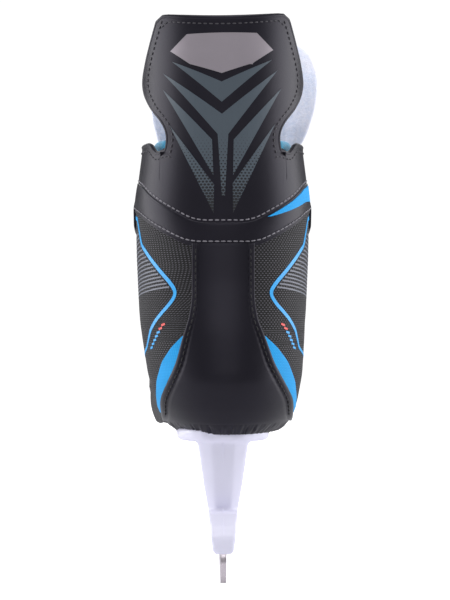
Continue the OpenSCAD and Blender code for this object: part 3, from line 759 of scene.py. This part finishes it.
# A blue gusset shows under the cuff's seam on the outer side
wedge_rows = []
for drop in steps(8.6, 0, 4):
    places = [(mix(0.13, 0.36, k), drop * min(1, k ** 0.8)) for k in steps(0, 1, 30)]
    wedge_rows.append([on_last(t, v_high(t) - 0.2 - down, -0.95) for t, down in places])
wedge = sheet_of("cuff_gusset", wedge_rows, mesh_blue, 0.6, 0, slot="mesh_blue")
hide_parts("cuff_wedge")

# ---------------------------------------------------------------- heel strip
# The back seam is covered by a broad strip of coated leather, narrow at the
# ankle and flaring over the heel. Its edges are turned under and topstitched.
STRIP_HALF = [(79, 33.4), (93, 34), (97, 32.8), (113, 24.7), (128, 20.2), (136, 17.2), (146, 15.7),
              (176, 15.7)]


def strip_t(z):
    return t_at(soft(z, STRIP_HALF, 3), z)


def strip_depth(k):
    """The strip stands proud of the mesh, with a groove at its stitching and a turned edge."""
    edge = abs(k)
    return -1.2 - 0.55 * ease((edge - 0.86) / 0.08) * (1 - 0.4 * ease((edge - 0.95) / 0.05)) \
        + 0.5 * math.exp(-((edge - 0.83) / 0.02) ** 2)


strip_rows = [[on_last(k * strip_t(z), z, strip_depth(k)) for k in steps(-1, 1, 64)]
              for z in steps(82.6, 175.5, 60)]
strip = sheet_of("heel_strip", strip_rows, pu_black, 2.0, 0.55, slot="pu_black")
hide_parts("heel_counter")
for side, label in ((-1, "inner"), (1, "outer")):
    stitches(f"heel_strip_stitching_{label}", [(side * strip_t(z) * 0.875, z) for z in steps(86, 173, 60)],
             thread_black, lift=1.55, radius=0.34, length=2.4, pitch=3.3)

# ---------------------------------------------------------------- quarters and their blue flashes
# Each side of the boot is a black knitted mesh with pale flecks. A blue flash
# peeps out beside the heel strip and blue and grey lines sweep towards the toe.
FLASH_HALF = [(79, 33.5), (88, 36.8), (96, 37), (104, 36.2), (114, 32.8), (122, 27.2), (128, 20.8),
              (136, 17.3), (180, 15.8)]


def flash_t(z):
    return t_at(soft(z, FLASH_HALF, 1.5), z)


def facing_t(z, more):
    """The facing's rear edge, and a little more behind it: the facing narrows to nothing at the toe."""
    return t_from_edge(z, FACING_W * ease((z - 127) / 10) + more)


for side, label in ((-1, "left"), (1, "right")):
    rows = []
    for z0 in steps(79, 204, 60):
        row = []
        for f in steps(0, 1, 100):
            z = z0
            for _ in range(2):                                  # under the ankle band's seam
                t = mix(strip_t(z) * 0.97, facing_t(z, -0.8), f)
                z = min(z0, v_low(t) + 0.8)
            row.append(on_last(side * t, z, 0.0))
        rows.append(row)
    quarter = sheet_of("quarter_mesh_" + label, facing_way(rows, side), mesh_black, 1.2, 0,
                       slot="mesh_black")
    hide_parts("quarter_" + label)
    leaf = []
    for z in steps(86, 127.6, 26):
        reach = max(strip_t(z) * 0.98, flash_t(z))
        leaf.append([on_last(side * mix(strip_t(z) * 0.97, reach, k), z, -0.3) for k in steps(0, 1, 10)])
    flash = sheet_of(f"heel_flash_{label}_leaf", facing_way(leaf, side), mesh_blue, 0.9, 0.15,
                     slot="mesh_blue")
    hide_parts("heel_flash_" + label)

BLUE_LINE = [(45.8, 190), (43.2, 175.4), (38.4, 168.2), (33.2, 161.6), (28.6, 156.4), (25.8, 152.7),
             (24.7, 150.2), (25.4, 147.6), (28.2, 143.6), (31.6, 140), (35.2, 135.6), (38, 130.6),
             (40.2, 121)]


def smooth_line(places, count):
    """A rounded line through (x, z) places."""
    marks = [0.0]
    for (a, b), (c, d) in zip(places, places[1:]):
        marks.append(marks[-1] + math.hypot(c - a, d - b))
    xs, zs = [(m, x) for m, (x, _) in zip(marks, places)], [(m, z) for m, (_, z) in zip(marks, places)]
    return [(soft(m, xs, 1.6), soft(m, zs, 1.6)) for m in steps(0, marks[-1], count)]


def t_of(x, z, side):
    """The place on the last that is seen from behind at (x, z), or at its mirror image."""
    x = side * x - shift_x(-140, z)
    return side * t_at(min(abs(x), 0.996 * side_x(heel_y(z) + ARC_DEPTH, z)), z)


for side, label in ((-1, "left"), (1, "right")):
    bend = smooth_line(BLUE_LINE, 70)
    edge = [(t_of(x, z, side), z) for x, z in bend]
    (top_t, top_z), (foot_t, foot_z) = edge[0], edge[-1]
    upper = [(side * mix(0.66, abs(top_t), k), mix(200, top_z, k ** 0.8)) for k in steps(0, 0.96, 14)]
    lower = [(side * mix(abs(foot_t), 0.7, k), mix(foot_z, 104, k ** 0.8)) for k in steps(0.04, 1, 18)]
    ribbon("blue_line_" + label, upper + edge + lower, lambda k: 2.1 - 1.9 * ease((k - 0.72) / 0.28),
           film_blue, 0.14)
    for i in range(16):
        at = edge[int(mix(6, 36, i / 15))]
        far = 0.60 + 0.008 * i
        path = [(side * mix(abs(at[0]) + 0.007, far, k), at[1] - 1.6 - mix(0, 17, k ** 1.25))
                for k in steps(0, 1, 24)]
        ribbon(f"speed_line_{label}_{i}", path, lambda k: 0.85 * (1 - 0.6 * k), film_grey, 0.1)
    for i in range(7):
        z = mix(133.4, 121.2, i / 6)
        x = mix(31.2, 37.4, (i / 6) ** 0.8)
        t = t_of(x, z, side)
        ribbon(f"dash_{label}_{i}", [(t - side * 0.008, z + 0.35), (t + side * 0.008, z - 0.35)], 1.15,
               film_red if i < 2 else film_blue, 0.14)

# ---------------------------------------------------------------- overlays
# A smooth patch closes the side of the ankle where the eyelets pull hardest.
for side, label in ((-1, "left"), (1, "right")):
    rows = []
    for up in [j / 6 - 1 for j in range(13)]:
        row = []
        for f in steps(0, 1, 40):
            half = 13.5 * math.sin(math.radians(20 + 70 * min(1, 2.5 * f))) ** 0.8 - 5 * f
            z = 191 + 9 * f + half * up
            t = mix(0.40, t_from_edge(z, 15), f)
            row.append(on_last(side * t, z, -1.4 + 0.25 * abs(up) ** 6))
        rows.append(row)
    patch = sheet_of("ankle_overlay_" + label, facing_way(rows, side), pu_black, 1.3, 0.4, slot="pu_black")
    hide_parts("overlay_" + label)

# ---------------------------------------------------------------- tongue
# A thick tongue stands above the collar and leans outward. Its front is black
# cloth over a stiff board; its back is deep fleece, rolled over at the edges.
def loft(name, rings, paint, body="boot", slot_name=None, levels=1, nap=0.0):
    """A closed form through rings of points in millimetres, with napped fleece if asked."""
    m = len(rings[0])
    points = [p for ring in rings for p in ring]
    faces = [[i * m + j, i * m + (j + 1) % m, (i + 1) * m + (j + 1) % m, (i + 1) * m + j]
             for i in range(len(rings) - 1) for j in range(m)]
    faces += [list(range(m))[::-1], [len(points) - m + j for j in range(m)]]
    obj = piece_from(name, points, faces, paint, None, slot_name, smooth=0)
    rework(obj.data, lambda bm: weld(bm, 2 * WELD), face_outwards)
    if levels:
        apply_modifier(obj, "SUBSURF", levels=levels, render_levels=levels)
    if nap:
        normals = [v.normal.copy() for v in obj.data.vertices]
        for v, normal in zip(obj.data.vertices, normals):
            p = v.co * 1000
            lump = noise.noise(p * 0.16) * 0.6 + noise.noise(p * 0.45) * 0.4
            v.co += normal * (lump * nap * MM)
    all_smooth(obj)
    return finished(obj, body)


def fleece_finish(name, tip, shaded_root):
    """Brushed fleece: pale fibre tips, with a darker colour painted in as shade down in the hollows of the
    pile and in random patches, and a fibrous relief.
    """
    paint, tree, _, group, bump, place = finish_of(name, tip, 0.95, 0.25, 900, 0.9, 0.0006, sheen=0.6,
                                                   spec=0.2)
    tuft = node(tree, "TexNoise", Scale=420.0, Detail=6.0, Roughness=0.7)
    tree.links.new(place.outputs["Object"], tuft.inputs["Vector"])
    patch = node(tree, "TexNoise", Scale=38.0, Detail=2.0)
    tree.links.new(place.outputs["Object"], patch.inputs["Vector"])
    # The darker colour follows the low places of the fibre relief: painted shade in the pile's hollows, plus
    # random patches from the coarse noise.
    deep = math_node(tree, "MULTIPLY", math_node(tree, "SUBTRACT", 0.62, tuft.outputs["Fac"]), 1.4)
    deep = math_node(tree, "ADD", deep, math_node(tree, "MULTIPLY", math_node(
        tree, "SUBTRACT", patch.outputs["Fac"], 0.5), 1.2))
    limit = node(tree, "Clamp")
    tree.links.new(deep, limit.inputs[0])
    tree.links.new(colour_mix(tree, limit.outputs[0], tip, shaded_root), group.inputs["Colour"])
    tree.links.new(tuft.outputs["Fac"], bump.inputs["Height"])
    return paint


# The white fleece's darker colour is bluish: painted shade tinted as if by light off the blue lining.
fleece_white = fleece_finish("fleece_white", (0.80, 0.81, 0.92), (0.50, 0.62, 0.84))
fleece_blue = fleece_finish("fleece_blue", (0.10, 0.50, 0.78), (0.01, 0.25, 0.50))
cloth_black = woven_finish("tongue_cloth", (0.010, 0.010, 0.013), (0.045, 0.045, 0.052), 0.0011, 0.0011)

# Rows up the tongue: forward place, height, left edge, right edge, how far its sides bend back
TONGUE_UP = [(-22.2, 217, -29, 33, 8), (-22.8, 228, -33, 40.5, 9.5), (-23, 236, -36.5, 46.5, 11),
             (-23, 245, -39, 50.5, 12.5), (-22, 255, -41, 53.8, 13.5), (-19.5, 266, -42.5, 54.8, 13.5),
             (-15.5, 276, -42, 51.5, 11.5), (-11.5, 283, -38.5, 46, 8), (-9, 287.5, -32, 38.5, 5),
             (-7.5, 289.5, -23, 30, 4)]


def tongue_frame(rows, i):
    before, after = rows[max(0, i - 1)], rows[min(len(rows) - 1, i + 1)]
    run = Vector((0, after[0] - before[0], after[1] - before[1])).normalized()
    return Vector((0, run.z, -run.y))


def tongue_ring(rows, i, depth, half, edge=1.0):
    """A closed ring round the tongue at one row: its middle at a depth, half its thickness half."""
    y, z, left, right, bend = rows[i]
    forward = tongue_frame(rows, i)
    ring = []
    for c, s in circle(40):
        u = math.copysign(abs(c) ** 0.62, c) * edge
        out = math.copysign(abs(s) ** 0.72, s)
        roll = 1 + 0.30 * math.exp(-((abs(u) - 0.84) / 0.09) ** 2) \
            - 0.38 * math.exp(-((abs(u) - 0.62) / 0.10) ** 2)
        x = mix(left, right, (u + 1) / 2)
        ring.append(Vector((x, y, z)) - forward * (bend * abs(u) ** 2.2 + depth - half * out * roll))
    return ring


def closed_rows(rows, depth, half, edge=1.0):
    """Rings up the tongue that draw in at the first and last row, so that the form is closed."""
    last = len(rows) - 1
    rings = [tongue_ring(rows, 0, depth, half * 0.25, edge * 0.96)]
    rings += [tongue_ring(rows, i, depth, half * (1 if i < last else 0.8), edge) for i in range(len(rows))]
    middle = sum(rings[-1], Vector()) / len(rings[-1])
    return rings + [[mix(p, middle, 0.35) + Vector((0, 0, 1.6)) for p in rings[-1]]]


def flex_with_tongue(obj):
    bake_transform(obj)


tongue_fleece = loft("tongue_fleece", closed_rows(TONGUE_UP, 8.4, 5.4), fleece_white, None, "felt_white",
                     2, 0.35)
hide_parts("tongue_felt")
flex_with_tongue(tongue_fleece)
tongue_cover = loft("tongue_cover", closed_rows(TONGUE_UP, 1.5, 1.7, 0.985), cloth_black, None,
                    "tongue_cover", 2)
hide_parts("tongue_upper")
flex_with_tongue(tongue_cover)

# ---------------------------------------------------------------- guard pad, collar and lining
# The guard is backed by a fleece pad. The collar is rolled over foam and, like
# the ankle lining below it, is faced in bright blue fleece.
pad_rings = []
for j, z in enumerate(steps(225.5, 288.5, 20)):
    v = j / 20
    half = guard_half(z) - 2.6
    crown = 0.25 + 0.75 * (1 - abs(2 * v - 1) ** 5)
    ring = []
    for c, s in circle(48):
        x = math.copysign(abs(c) ** 0.7, c) * half
        ring.append(on_last(t_across(x, z), z, 6.0 - math.copysign(abs(s) ** 0.8, s) * 2.9 * crown))
    pad_rings.append(ring)
guard_pad = loft("guard_fleece_pad", pad_rings, fleece_white, None, "felt_white", 1, 0.25)
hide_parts("guard_pad")
flex_with_guard(guard_pad)

LINING_OUT = 8.7        # depth of the lining under the skin, without foam
FOAM = 6.0              # the ankle foam at its fullest


def swell(t, z):
    return FOAM * ease(1 - abs(abs(t) - 0.5) / 0.3) * ease(1 - abs(z - 185) / 42)


lining_rows = []
for z in steps(91.5, 214, 44):
    row = []
    for k in steps(-1, 1, 90):
        t = k * facing_t(z, 9)
        pile = 0.15 * noise.noise(Vector((t * 60, z * 0.3, 0)))
        row.append(on_last(t, z, LINING_OUT + swell(t, z) + pile))
    lining_rows.append(row)
lining = sheet_of("boot_lining", lining_rows, fleece_blue, 1.4, 0.3, slot="lining_blue")
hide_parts("lining")

ROLL_LOW, ROLL_END = 206, 0.955
roll_rings = []
for k in steps(-ROLL_END, ROLL_END, 110):
    rise = ease((abs(k) - NOTCH_T - 0.02) / 0.05) * (1 - ease((abs(k) - 0.45) / 0.2))
    top = collar_top(k) - 3.6 + 5.4 * rise
    ring = []
    for c, s in circle(20):
        z = mix(ROLL_LOW, top, (1 + s) / 2)
        full = 1.2 * ease((z - 217) / 4)
        ring.append(on_last(k * (FACING_T / ROLL_END), z, 9.6 - full - c * (2.5 + full)))
    roll_rings.append(ring)
collar_roll = loft("collar_roll", roll_rings, fleece_blue, "boot", "lining_blue", 1, 0.3)

# ---------------------------------------------------------------- blade holder
# One white nylon moulding: two sole flanges, two pillars and the bridge that
# grips the steel. Its edges are rounded as a mould leaves them.
nylon = finish_of("white_nylon", (0.80, 0.79, 0.95), 0.36, 0.10, 1400, 0.10, 0.0001, spec=0.5)[0]


def own_form(node_name, new_name, paint, *changes):
    """A free copy of a CAD node's own form."""
    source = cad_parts[node_name]
    mesh = source.data.copy()
    mesh.transform(source.matrix_world)
    obj = bpy.data.objects.new(new_name, mesh)
    bpy.context.collection.objects.link(obj)
    mesh.materials.clear()
    mesh.materials.append(paint)
    rework(mesh, weld, *changes)
    return obj


def rounded_copy(node_name, new_name, voxel, passes, paint, slot_name, grow=0.0, extra=()):
    """A smooth moulding made from a CAD node and extra convex bodies, with its edges rounded over."""
    def add_extra(bm):
        for corners in extra:
            bmesh.ops.convex_hull(bm, input=[bm.verts.new(Vector(p) * MM) for p in corners])

    obj = own_form(node_name, new_name, paint, add_extra)
    apply_modifier(obj, "REMESH", mode="VOXEL", voxel_size=voxel * MM, use_smooth_shade=True)
    apply_modifier(obj, "SMOOTH", factor=0.5, iterations=passes)
    normals = [v.normal.copy() for v in obj.data.vertices]
    for v, normal in zip(obj.data.vertices, normals):
        v.co += normal * (grow * MM)
    all_smooth(obj)
    return finished(obj, "boot", slot_name, node_name)


# The tail closes round the back of the steel, and the rear pillar rises from it to the sole
# in one even taper. Levels: height, half width, rear end, front end.
TAIL = ((16.4, 4.6, -151.8, -138), (19, 5.4, -153.2, -136), (25, 6.2, -152.4, -134), (30, 6.7, -148.5, -130),
        (36, 7.5, -141, -124))
NECK = ((28, 6.5, -133, -122), (36, 7.5, -129, -64))
PILLAR = ((36, 7.5, -129, -64), (50, 10.0, -131, -60), (66, 12.2, -133, -56), (74, 13.4, -134, -52))
# The flange ends in a round lip behind the heel rivets. Levels: height, width, length.
LIP_Y, LIP_HALF = -113.5, 24.3
LIP = ((72.4, 0.93, 19.5), (73.6, 1.0, 21.5), (77.5, 1.0, 21.5))
box_corners = [[(x * w, y, z) for z, w, back, fore in levels for x in (-1, 1) for y in (back, fore)]
               for levels in (TAIL, NECK)]
pillar_corners = [(x * w, y, z) for z, w, back, fore in PILLAR for x, y in
                  ((-1, back + 4), (1, back + 4), (-0.45, back), (0.45, back), (-1, fore), (1, fore))]
lip_corners = [(LIP_HALF * w * math.sin(math.radians(a)), LIP_Y - long * math.cos(math.radians(a)), z)
               for z, w, long in LIP for a in range(-90, 91, 10)]
rounded_copy("holder", "blade_holder", 1.0, 6, nylon, "holder_plastic", 0.2,
             (*box_corners, pillar_corners, lip_corners))
PARTING = ((-152.6, 24.5), (-149.2, 30), (-143.6, 34), (-129.4, 38.5), (-130.8, 50), (-133.2, 66),
           (-134.6, 73))
cord_of("holder_parting_line", [(0, y, z) for y, z in PARTING], 0.22, nylon)

# ---------------------------------------------------------------- runner and hardware
# The steel is ground along its length on the sides and hollow-ground across the
# bottom, so its foot is brighter and its sides show fine lengthwise lines.
steel, steel_tree, _, steel_group, steel_bump, steel_place = finish_of(
    "ground_steel", (0.42, 0.38, 0.42), 0.30, 0.25, 500, 0.05, metal=0.95)
grind = node(steel_tree, "TexNoise", Scale=1.0, Detail=5.0, Roughness=0.7)
stretch = node(steel_tree, "Mapping", Scale=(900, 12, 1600))
steel_tree.links.new(steel_place.outputs["Object"], stretch.inputs["Vector"])
steel_tree.links.new(stretch.outputs["Vector"], grind.inputs["Vector"])
steel_tree.links.new(colour_mix(steel_tree, grind.outputs["Fac"], (0.42, 0.38, 0.42), (0.74, 0.68, 0.73)),
                     steel_group.inputs["Colour"])
steel_tree.links.new(grind.outputs["Fac"], steel_bump.inputs["Height"])


def bevelled_copy(node_name, new_name, width, paint, slot_name, angle=40):
    """A CAD node's own form with a fine bevel on its edges."""
    def clean(bm):
        bmesh.ops.dissolve_limit(bm, angle_limit=math.radians(1), verts=bm.verts, edges=bm.edges)

    obj = own_form(node_name, new_name, paint, clean)
    bevel(obj, width, 2, angle)
    smooth_by_angle(obj, 30)
    return finished(obj, "boot", slot_name, node_name)


bevelled_copy("runner", "steel_runner", 0.35, steel, "runner_steel")
hardware = finish_of("hardware_steel", (0.40, 0.40, 0.42), 0.32, 0.3, 1200, 0.08, metal=0.9)[0]
HEAD_RISE = 0.0024              # the rivet heads are sunk until they are flush with the flange
for name, flush in (("anchor_studs", 0), ("anchor_pins", 0), ("anchor_nuts", 0), ("rivets_heel", 0.0745),
                    ("rivets_ball", 0.0685)):
    metal = bevelled_copy(name, name + "_steel", 0.25, hardware, "hardware_steel", 50)
    for v in metal.data.vertices:
        v.co.z += HEAD_RISE if v.co.z < flush else 0.0

# ---------------------------------------------------------------- sole layers and footbed
# Under the foot: a moulded black outsole, a grey fibre board and a foam footbed.
sole_black = finish_of("sole_black", (0.014, 0.014, 0.016), 0.55, 0.4, 900, 0.3)[0]
board_grey = finish_of("fibre_board", (0.20, 0.19, 0.17), 0.85, 0.5, 700, 0.4)[0]
foam_grey = finish_of("footbed_foam", (0.05, 0.06, 0.08), 0.9, 0.3, 1800, 0.5)[0]
bevelled_copy("outsole", "sole_plate", 0.5, sole_black, "sole_plate", 50)
bevelled_copy("lasting_board", "insole_board", 0.3, board_grey, "board", 50)
bevelled_copy("footbed", "foam_footbed", 1.2, foam_grey, "footbed_foam", 50)

# The upper is pulled under the heel in small pleats before the sole goes on
pleat_rows = []
for j in range(7):
    f, row = j / 6, []
    tuck = 1.5 * (1 - f) ** 2
    swell_out = 0.75 * math.sin(math.pi * min(1, 0.25 + f))
    for t in steps(-0.62, 0.62, 240):
        fold = noise.noise(Vector((t * 95, 0, 0.3 * j))) + 0.6 * noise.noise(Vector((t * 210, 5, 0.2 * j)))
        depth = -1.0 - fold * swell_out + 2.6 * (1 - f) ** 2 + 0.9 * f ** 3
        row.append(on_last(t, mix(77.0, 85.5, f), depth) - Vector((0, 0, tuck)))
    pleat_rows.append(row)
sheet_of("lasting_margin", pleat_rows, pu_black, 1.0, 0, slot="pu_black")

# ---------------------------------------------------------------- shells and ankle foam
# Stiff moulded shells sit under the skins, with shaped foam over the ankle bones.
shell_grey = finish_of("shell_board", (0.10, 0.10, 0.11), 0.7, 0.4, 700, 0.3)[0]
foam_pale = finish_of("ankle_foam", (0.35, 0.36, 0.40), 0.9, 0.25, 1600, 0.5)[0]
for side, label in ((-1, "left"), (1, "right")):
    rows = [[on_last(side * mix(0.004, facing_t(z, 1), k), z, 3.7) for k in steps(0, 1, 60)]
            for z in steps(79.5, 215.5, 40)]
    shell = sheet_of("stiff_shell_" + label, facing_way(rows, side), shell_grey, 2.4, 0.4, slot="shell")
    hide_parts("shell_" + label)
    rings = []
    for k in steps(0, 1, 18):
        t = side * mix(0.22, 0.78, k)
        ring = []
        for c, s in circle(24):
            z = 179.5 + 34.5 * c * (1 - abs(2 * k - 1) ** 4) ** 0.5 * 0.98
            full = 0.3 + 0.5 * (1 + s) * swell(t, z)
            ring.append(on_last(t, z, 7.2 + full * 0.98))
        rings.append(ring)
    foam = loft("ankle_foam_pad_" + label, rings, foam_pale, "boot", "foam", 0)
    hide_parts("ankle_foam_" + label)

# ---------------------------------------------------------------- lacing
# Each side has a doubled facing with eight pressed eyelets, and a flat black
# cotton lace runs up through them over the tongue.
LACE_N, EYELET_INSET, EYELET_R, EYELET_WALL = 8, 6.5, 2.6, 0.8
EYELET_AT = [mix(137, 213, (i / (LACE_N - 1)) ** 1.25) for i in range(LACE_N)]
eyelet_metal = finish_of("eyelet_nickel", (0.50, 0.49, 0.52), 0.25, 0.2, 900, 0.05, metal=0.9)[0]
cotton, cotton_tree, _, cotton_group, _, cotton_place = finish_of(
    "lace_cotton", (0.05, 0.05, 0.055), 0.8, 0.3, 900, 0.6, sheen=0.3)
braid = node(cotton_tree, "TexNoise", Scale=1300.0, Detail=2.0)
cotton_tree.links.new(cotton_place.outputs["Object"], braid.inputs["Vector"])
cotton_tint = colour_mix(cotton_tree, braid.outputs["Fac"], (0.012, 0.012, 0.014), (0.10, 0.10, 0.11))
cotton_tree.links.new(cotton_tint, cotton_group.inputs["Colour"])


def turned(points, faces, centre, axis, profile):
    """Adds a ring turned round an axis; the profile is (radius, height) pairs."""
    side = axis.orthogonal().normalized()
    up = axis.cross(side)
    base, m, turns = len(points), len(profile), circle(28)
    for k, (c, s) in enumerate(turns):
        spoke = side * c + up * s
        points += [centre + spoke * r + axis * h for r, h in profile]
        a, b = base + k * m, base + (k + 1) % len(turns) * m
        faces += [[a + q, b + q, b + (q + 1) % m, a + (q + 1) % m] for q in range(m)]


EYELET_FORM = [(2.6, -3.0), (2.6, 0.9), (2.8, 1.35), (3.3, 1.6), (4.0, 1.5), (4.4, 1.2), (4.4, 0.75),
               (3.4, 0.7), (3.35, -3.0)]
for side, label in ((-1, "left"), (1, "right")):
    rows = [[on_last(side * mix(facing_t(z, 0.01), 0.9995, k), z, -0.6 - 0.25 * math.sin(math.pi * k))
             for k in steps(0, 1, 14)] for z in steps(129, 221, 70)]
    facing = sheet_of("lace_facing_" + label, facing_way(rows, side), pu_black, 3.6, 0.7, None, "facing_pu")
    drill_points, drill_faces, ring_points, ring_faces = [], [], [], []
    for z in EYELET_AT:
        t = side * t_from_edge(z, EYELET_INSET)
        centre, axis = last_point(t, z), outward(t, z)
        base = len(drill_points)
        across_axis = axis.orthogonal().normalized()
        other = axis.cross(across_axis)
        for h in (-9, 9):
            drill_points += [centre + axis * h + (across_axis * c + other * s) * (EYELET_R + EYELET_WALL)
                             for c, s in circle(24)]
        drill_faces += [[base + q, base + (q + 1) % 24, base + 24 + (q + 1) % 24, base + 24 + q]
                        for q in range(24)]
        drill_faces += [[base + q for q in range(23, -1, -1)], [base + 24 + q for q in range(24)]]
        turned(ring_points, ring_faces, centre, axis, EYELET_FORM)
    drill = piece_from("drill_" + label, drill_points, drill_faces, pu_black, None, None, smooth=0)
    apply_modifier(facing, "BOOLEAN", object=drill, operation="DIFFERENCE", solver="EXACT")
    bpy.data.objects.remove(drill)
    finished(facing, "boot", None, "facing_" + label)
    rings = piece_from("lace_eyelets_" + label, ring_points, ring_faces, eyelet_metal, "boot",
                       "eyelet_metal")
    rework(rings.data, face_outwards)
    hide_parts("eyelets_" + label)
    for inset, thread in ((2.2, thread_black), (12.0, thread_grey)):
        stitches(f"facing_stitching_{label}_{int(inset)}",
                 [(side * t_from_edge(z, inset), z) for z in steps(135, 217, 60)], thread, lift=0.75)
rounded_copy("lace", "boot_lace", 0.55, 3, cotton, "lace_cotton")

# ---------------------------------------------------------------- tongue body
# Below the collar the tongue is a padded sheet that lies under the lacing.
TONGUE_LOW = [(86, 112, 15, 3), (64, 119, 19, 5), (40, 129.5, 22, 6), (20, 140.5, 24, 6.5), (4, 155, 25, 7),
              (-8, 174.5, 26, 7.5), (-17, 197.5, 27, 8), (-21.5, 220.5, 28, 8)]
low_rows = [(y, z, shift_x(y, 150) - half, shift_x(y, 150) + half, bend) for y, z, half, bend in TONGUE_LOW]
tongue_body = loft("tongue_body", closed_rows(low_rows, 3.0, 2.75, 0.99), cloth_black, "boot",
                   "tongue_cover", 2)
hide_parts("tongue_base")

# ---------------------------------------------------------------- toe cap and rand
# A hard moulded cap covers the toes, with a low rubber rand round its foot.
cap_black = finish_of("toe_cap_plastic", (0.012, 0.012, 0.014), 0.28, 0.3, 1200, 0.15, coat=0.25)[0]
rand_black = finish_of("rand_rubber", (0.016, 0.016, 0.017), 0.75, 0.4, 900, 0.3)[0]
SEAM_Y, CAP_LEN = 75.0, 77.0
CAP_FALL, CAP_ROUND = 2.7, 2.3
CAP_AT = [0, 0.02, 0.08, 0.16, 0.25, 0.35, 0.45, 0.55, 0.64, 0.72, 0.79, 0.85, 0.90, 0.94, 0.97, 0.99,
          0.9985]
cap_rings = []
BALL_W = soft(SEAM_Y, BALL_HALF, 8)
ARCH_H = soft(SEAM_Y, ARCH_TOP, 3) - BALL_Z
for k in CAP_AT:
    y = SEAM_Y + CAP_LEN * k
    w = BALL_W * (1 - k ** CAP_FALL) ** (1 / CAP_ROUND)
    h = ARCH_H * (1 - k ** 2.6) ** (1 / 2.2)
    if k == 0.02:
        w, h = w + 0.8, h + 0.8
    ring = []
    for q in range(41):
        angle = math.pi * q / 40
        c, s = math.cos(angle), math.sin(angle)
        ring.append(Vector((math.copysign(w * abs(c) ** (2 / ARCH_N), c) + shift_x(y, BALL_Z), y,
                            BALL_Z + h * s ** (2 / ARCH_N))))
    foot = seat_z(y) + 1
    # The sides draw in to the sole
    inner, outer = (Vector((ring[end].x * 0.9, y, foot)) for end in (40, 0))
    drawn = Vector((0.1 * shift_x(y, 80), 0, 0))
    ring += [mix(ring[40], inner + drawn, f) for f in (0.35, 0.7)]
    ring.append(mix(inner, outer, 0.75))
    ring += [mix(ring[0], outer + drawn, f) for f in (1.0, 0.7, 0.35)]
    cap_rings.append(ring)
cap_points = [p for ring in cap_rings for p in ring]
m = len(cap_rings[0])
cap_faces = []
for i in range(len(cap_rings) - 1):
    for j in range(m):
        if j != 42:             # open under the foot
            cap_faces.append([i * m + j, (i + 1) * m + j, (i + 1) * m + (j + 1) % m, i * m + (j + 1) % m])
last = (len(cap_rings) - 1) * m
cap_faces.append([last + j for j in range(m)])
cap = piece_from("moulded_toe_cap", cap_points, cap_faces, cap_black, None, "cap_plastic", smooth=0)


def crown_upwards(bm):
    if sum(f.normal.z for f in bm.faces if f.calc_center_median().z > 0.11) < 0:
        bmesh.ops.reverse_faces(bm, faces=bm.faces)


rework(cap.data, face_outwards, crown_upwards)
thicken(cap, 2.6)
bevel(cap, 0.5, 2, 60)
smooth_by_angle(cap, 50)
finished(cap, "boot", None, "toe_cap")
rand = bevelled_copy("toe_rand", "rubber_rand", 0.3, rand_black, "rand_rubber", 50)
for v in rand.data.vertices:            # drawn in under the cap
    v.co.x = v.co.x * 0.93 + 0.0022
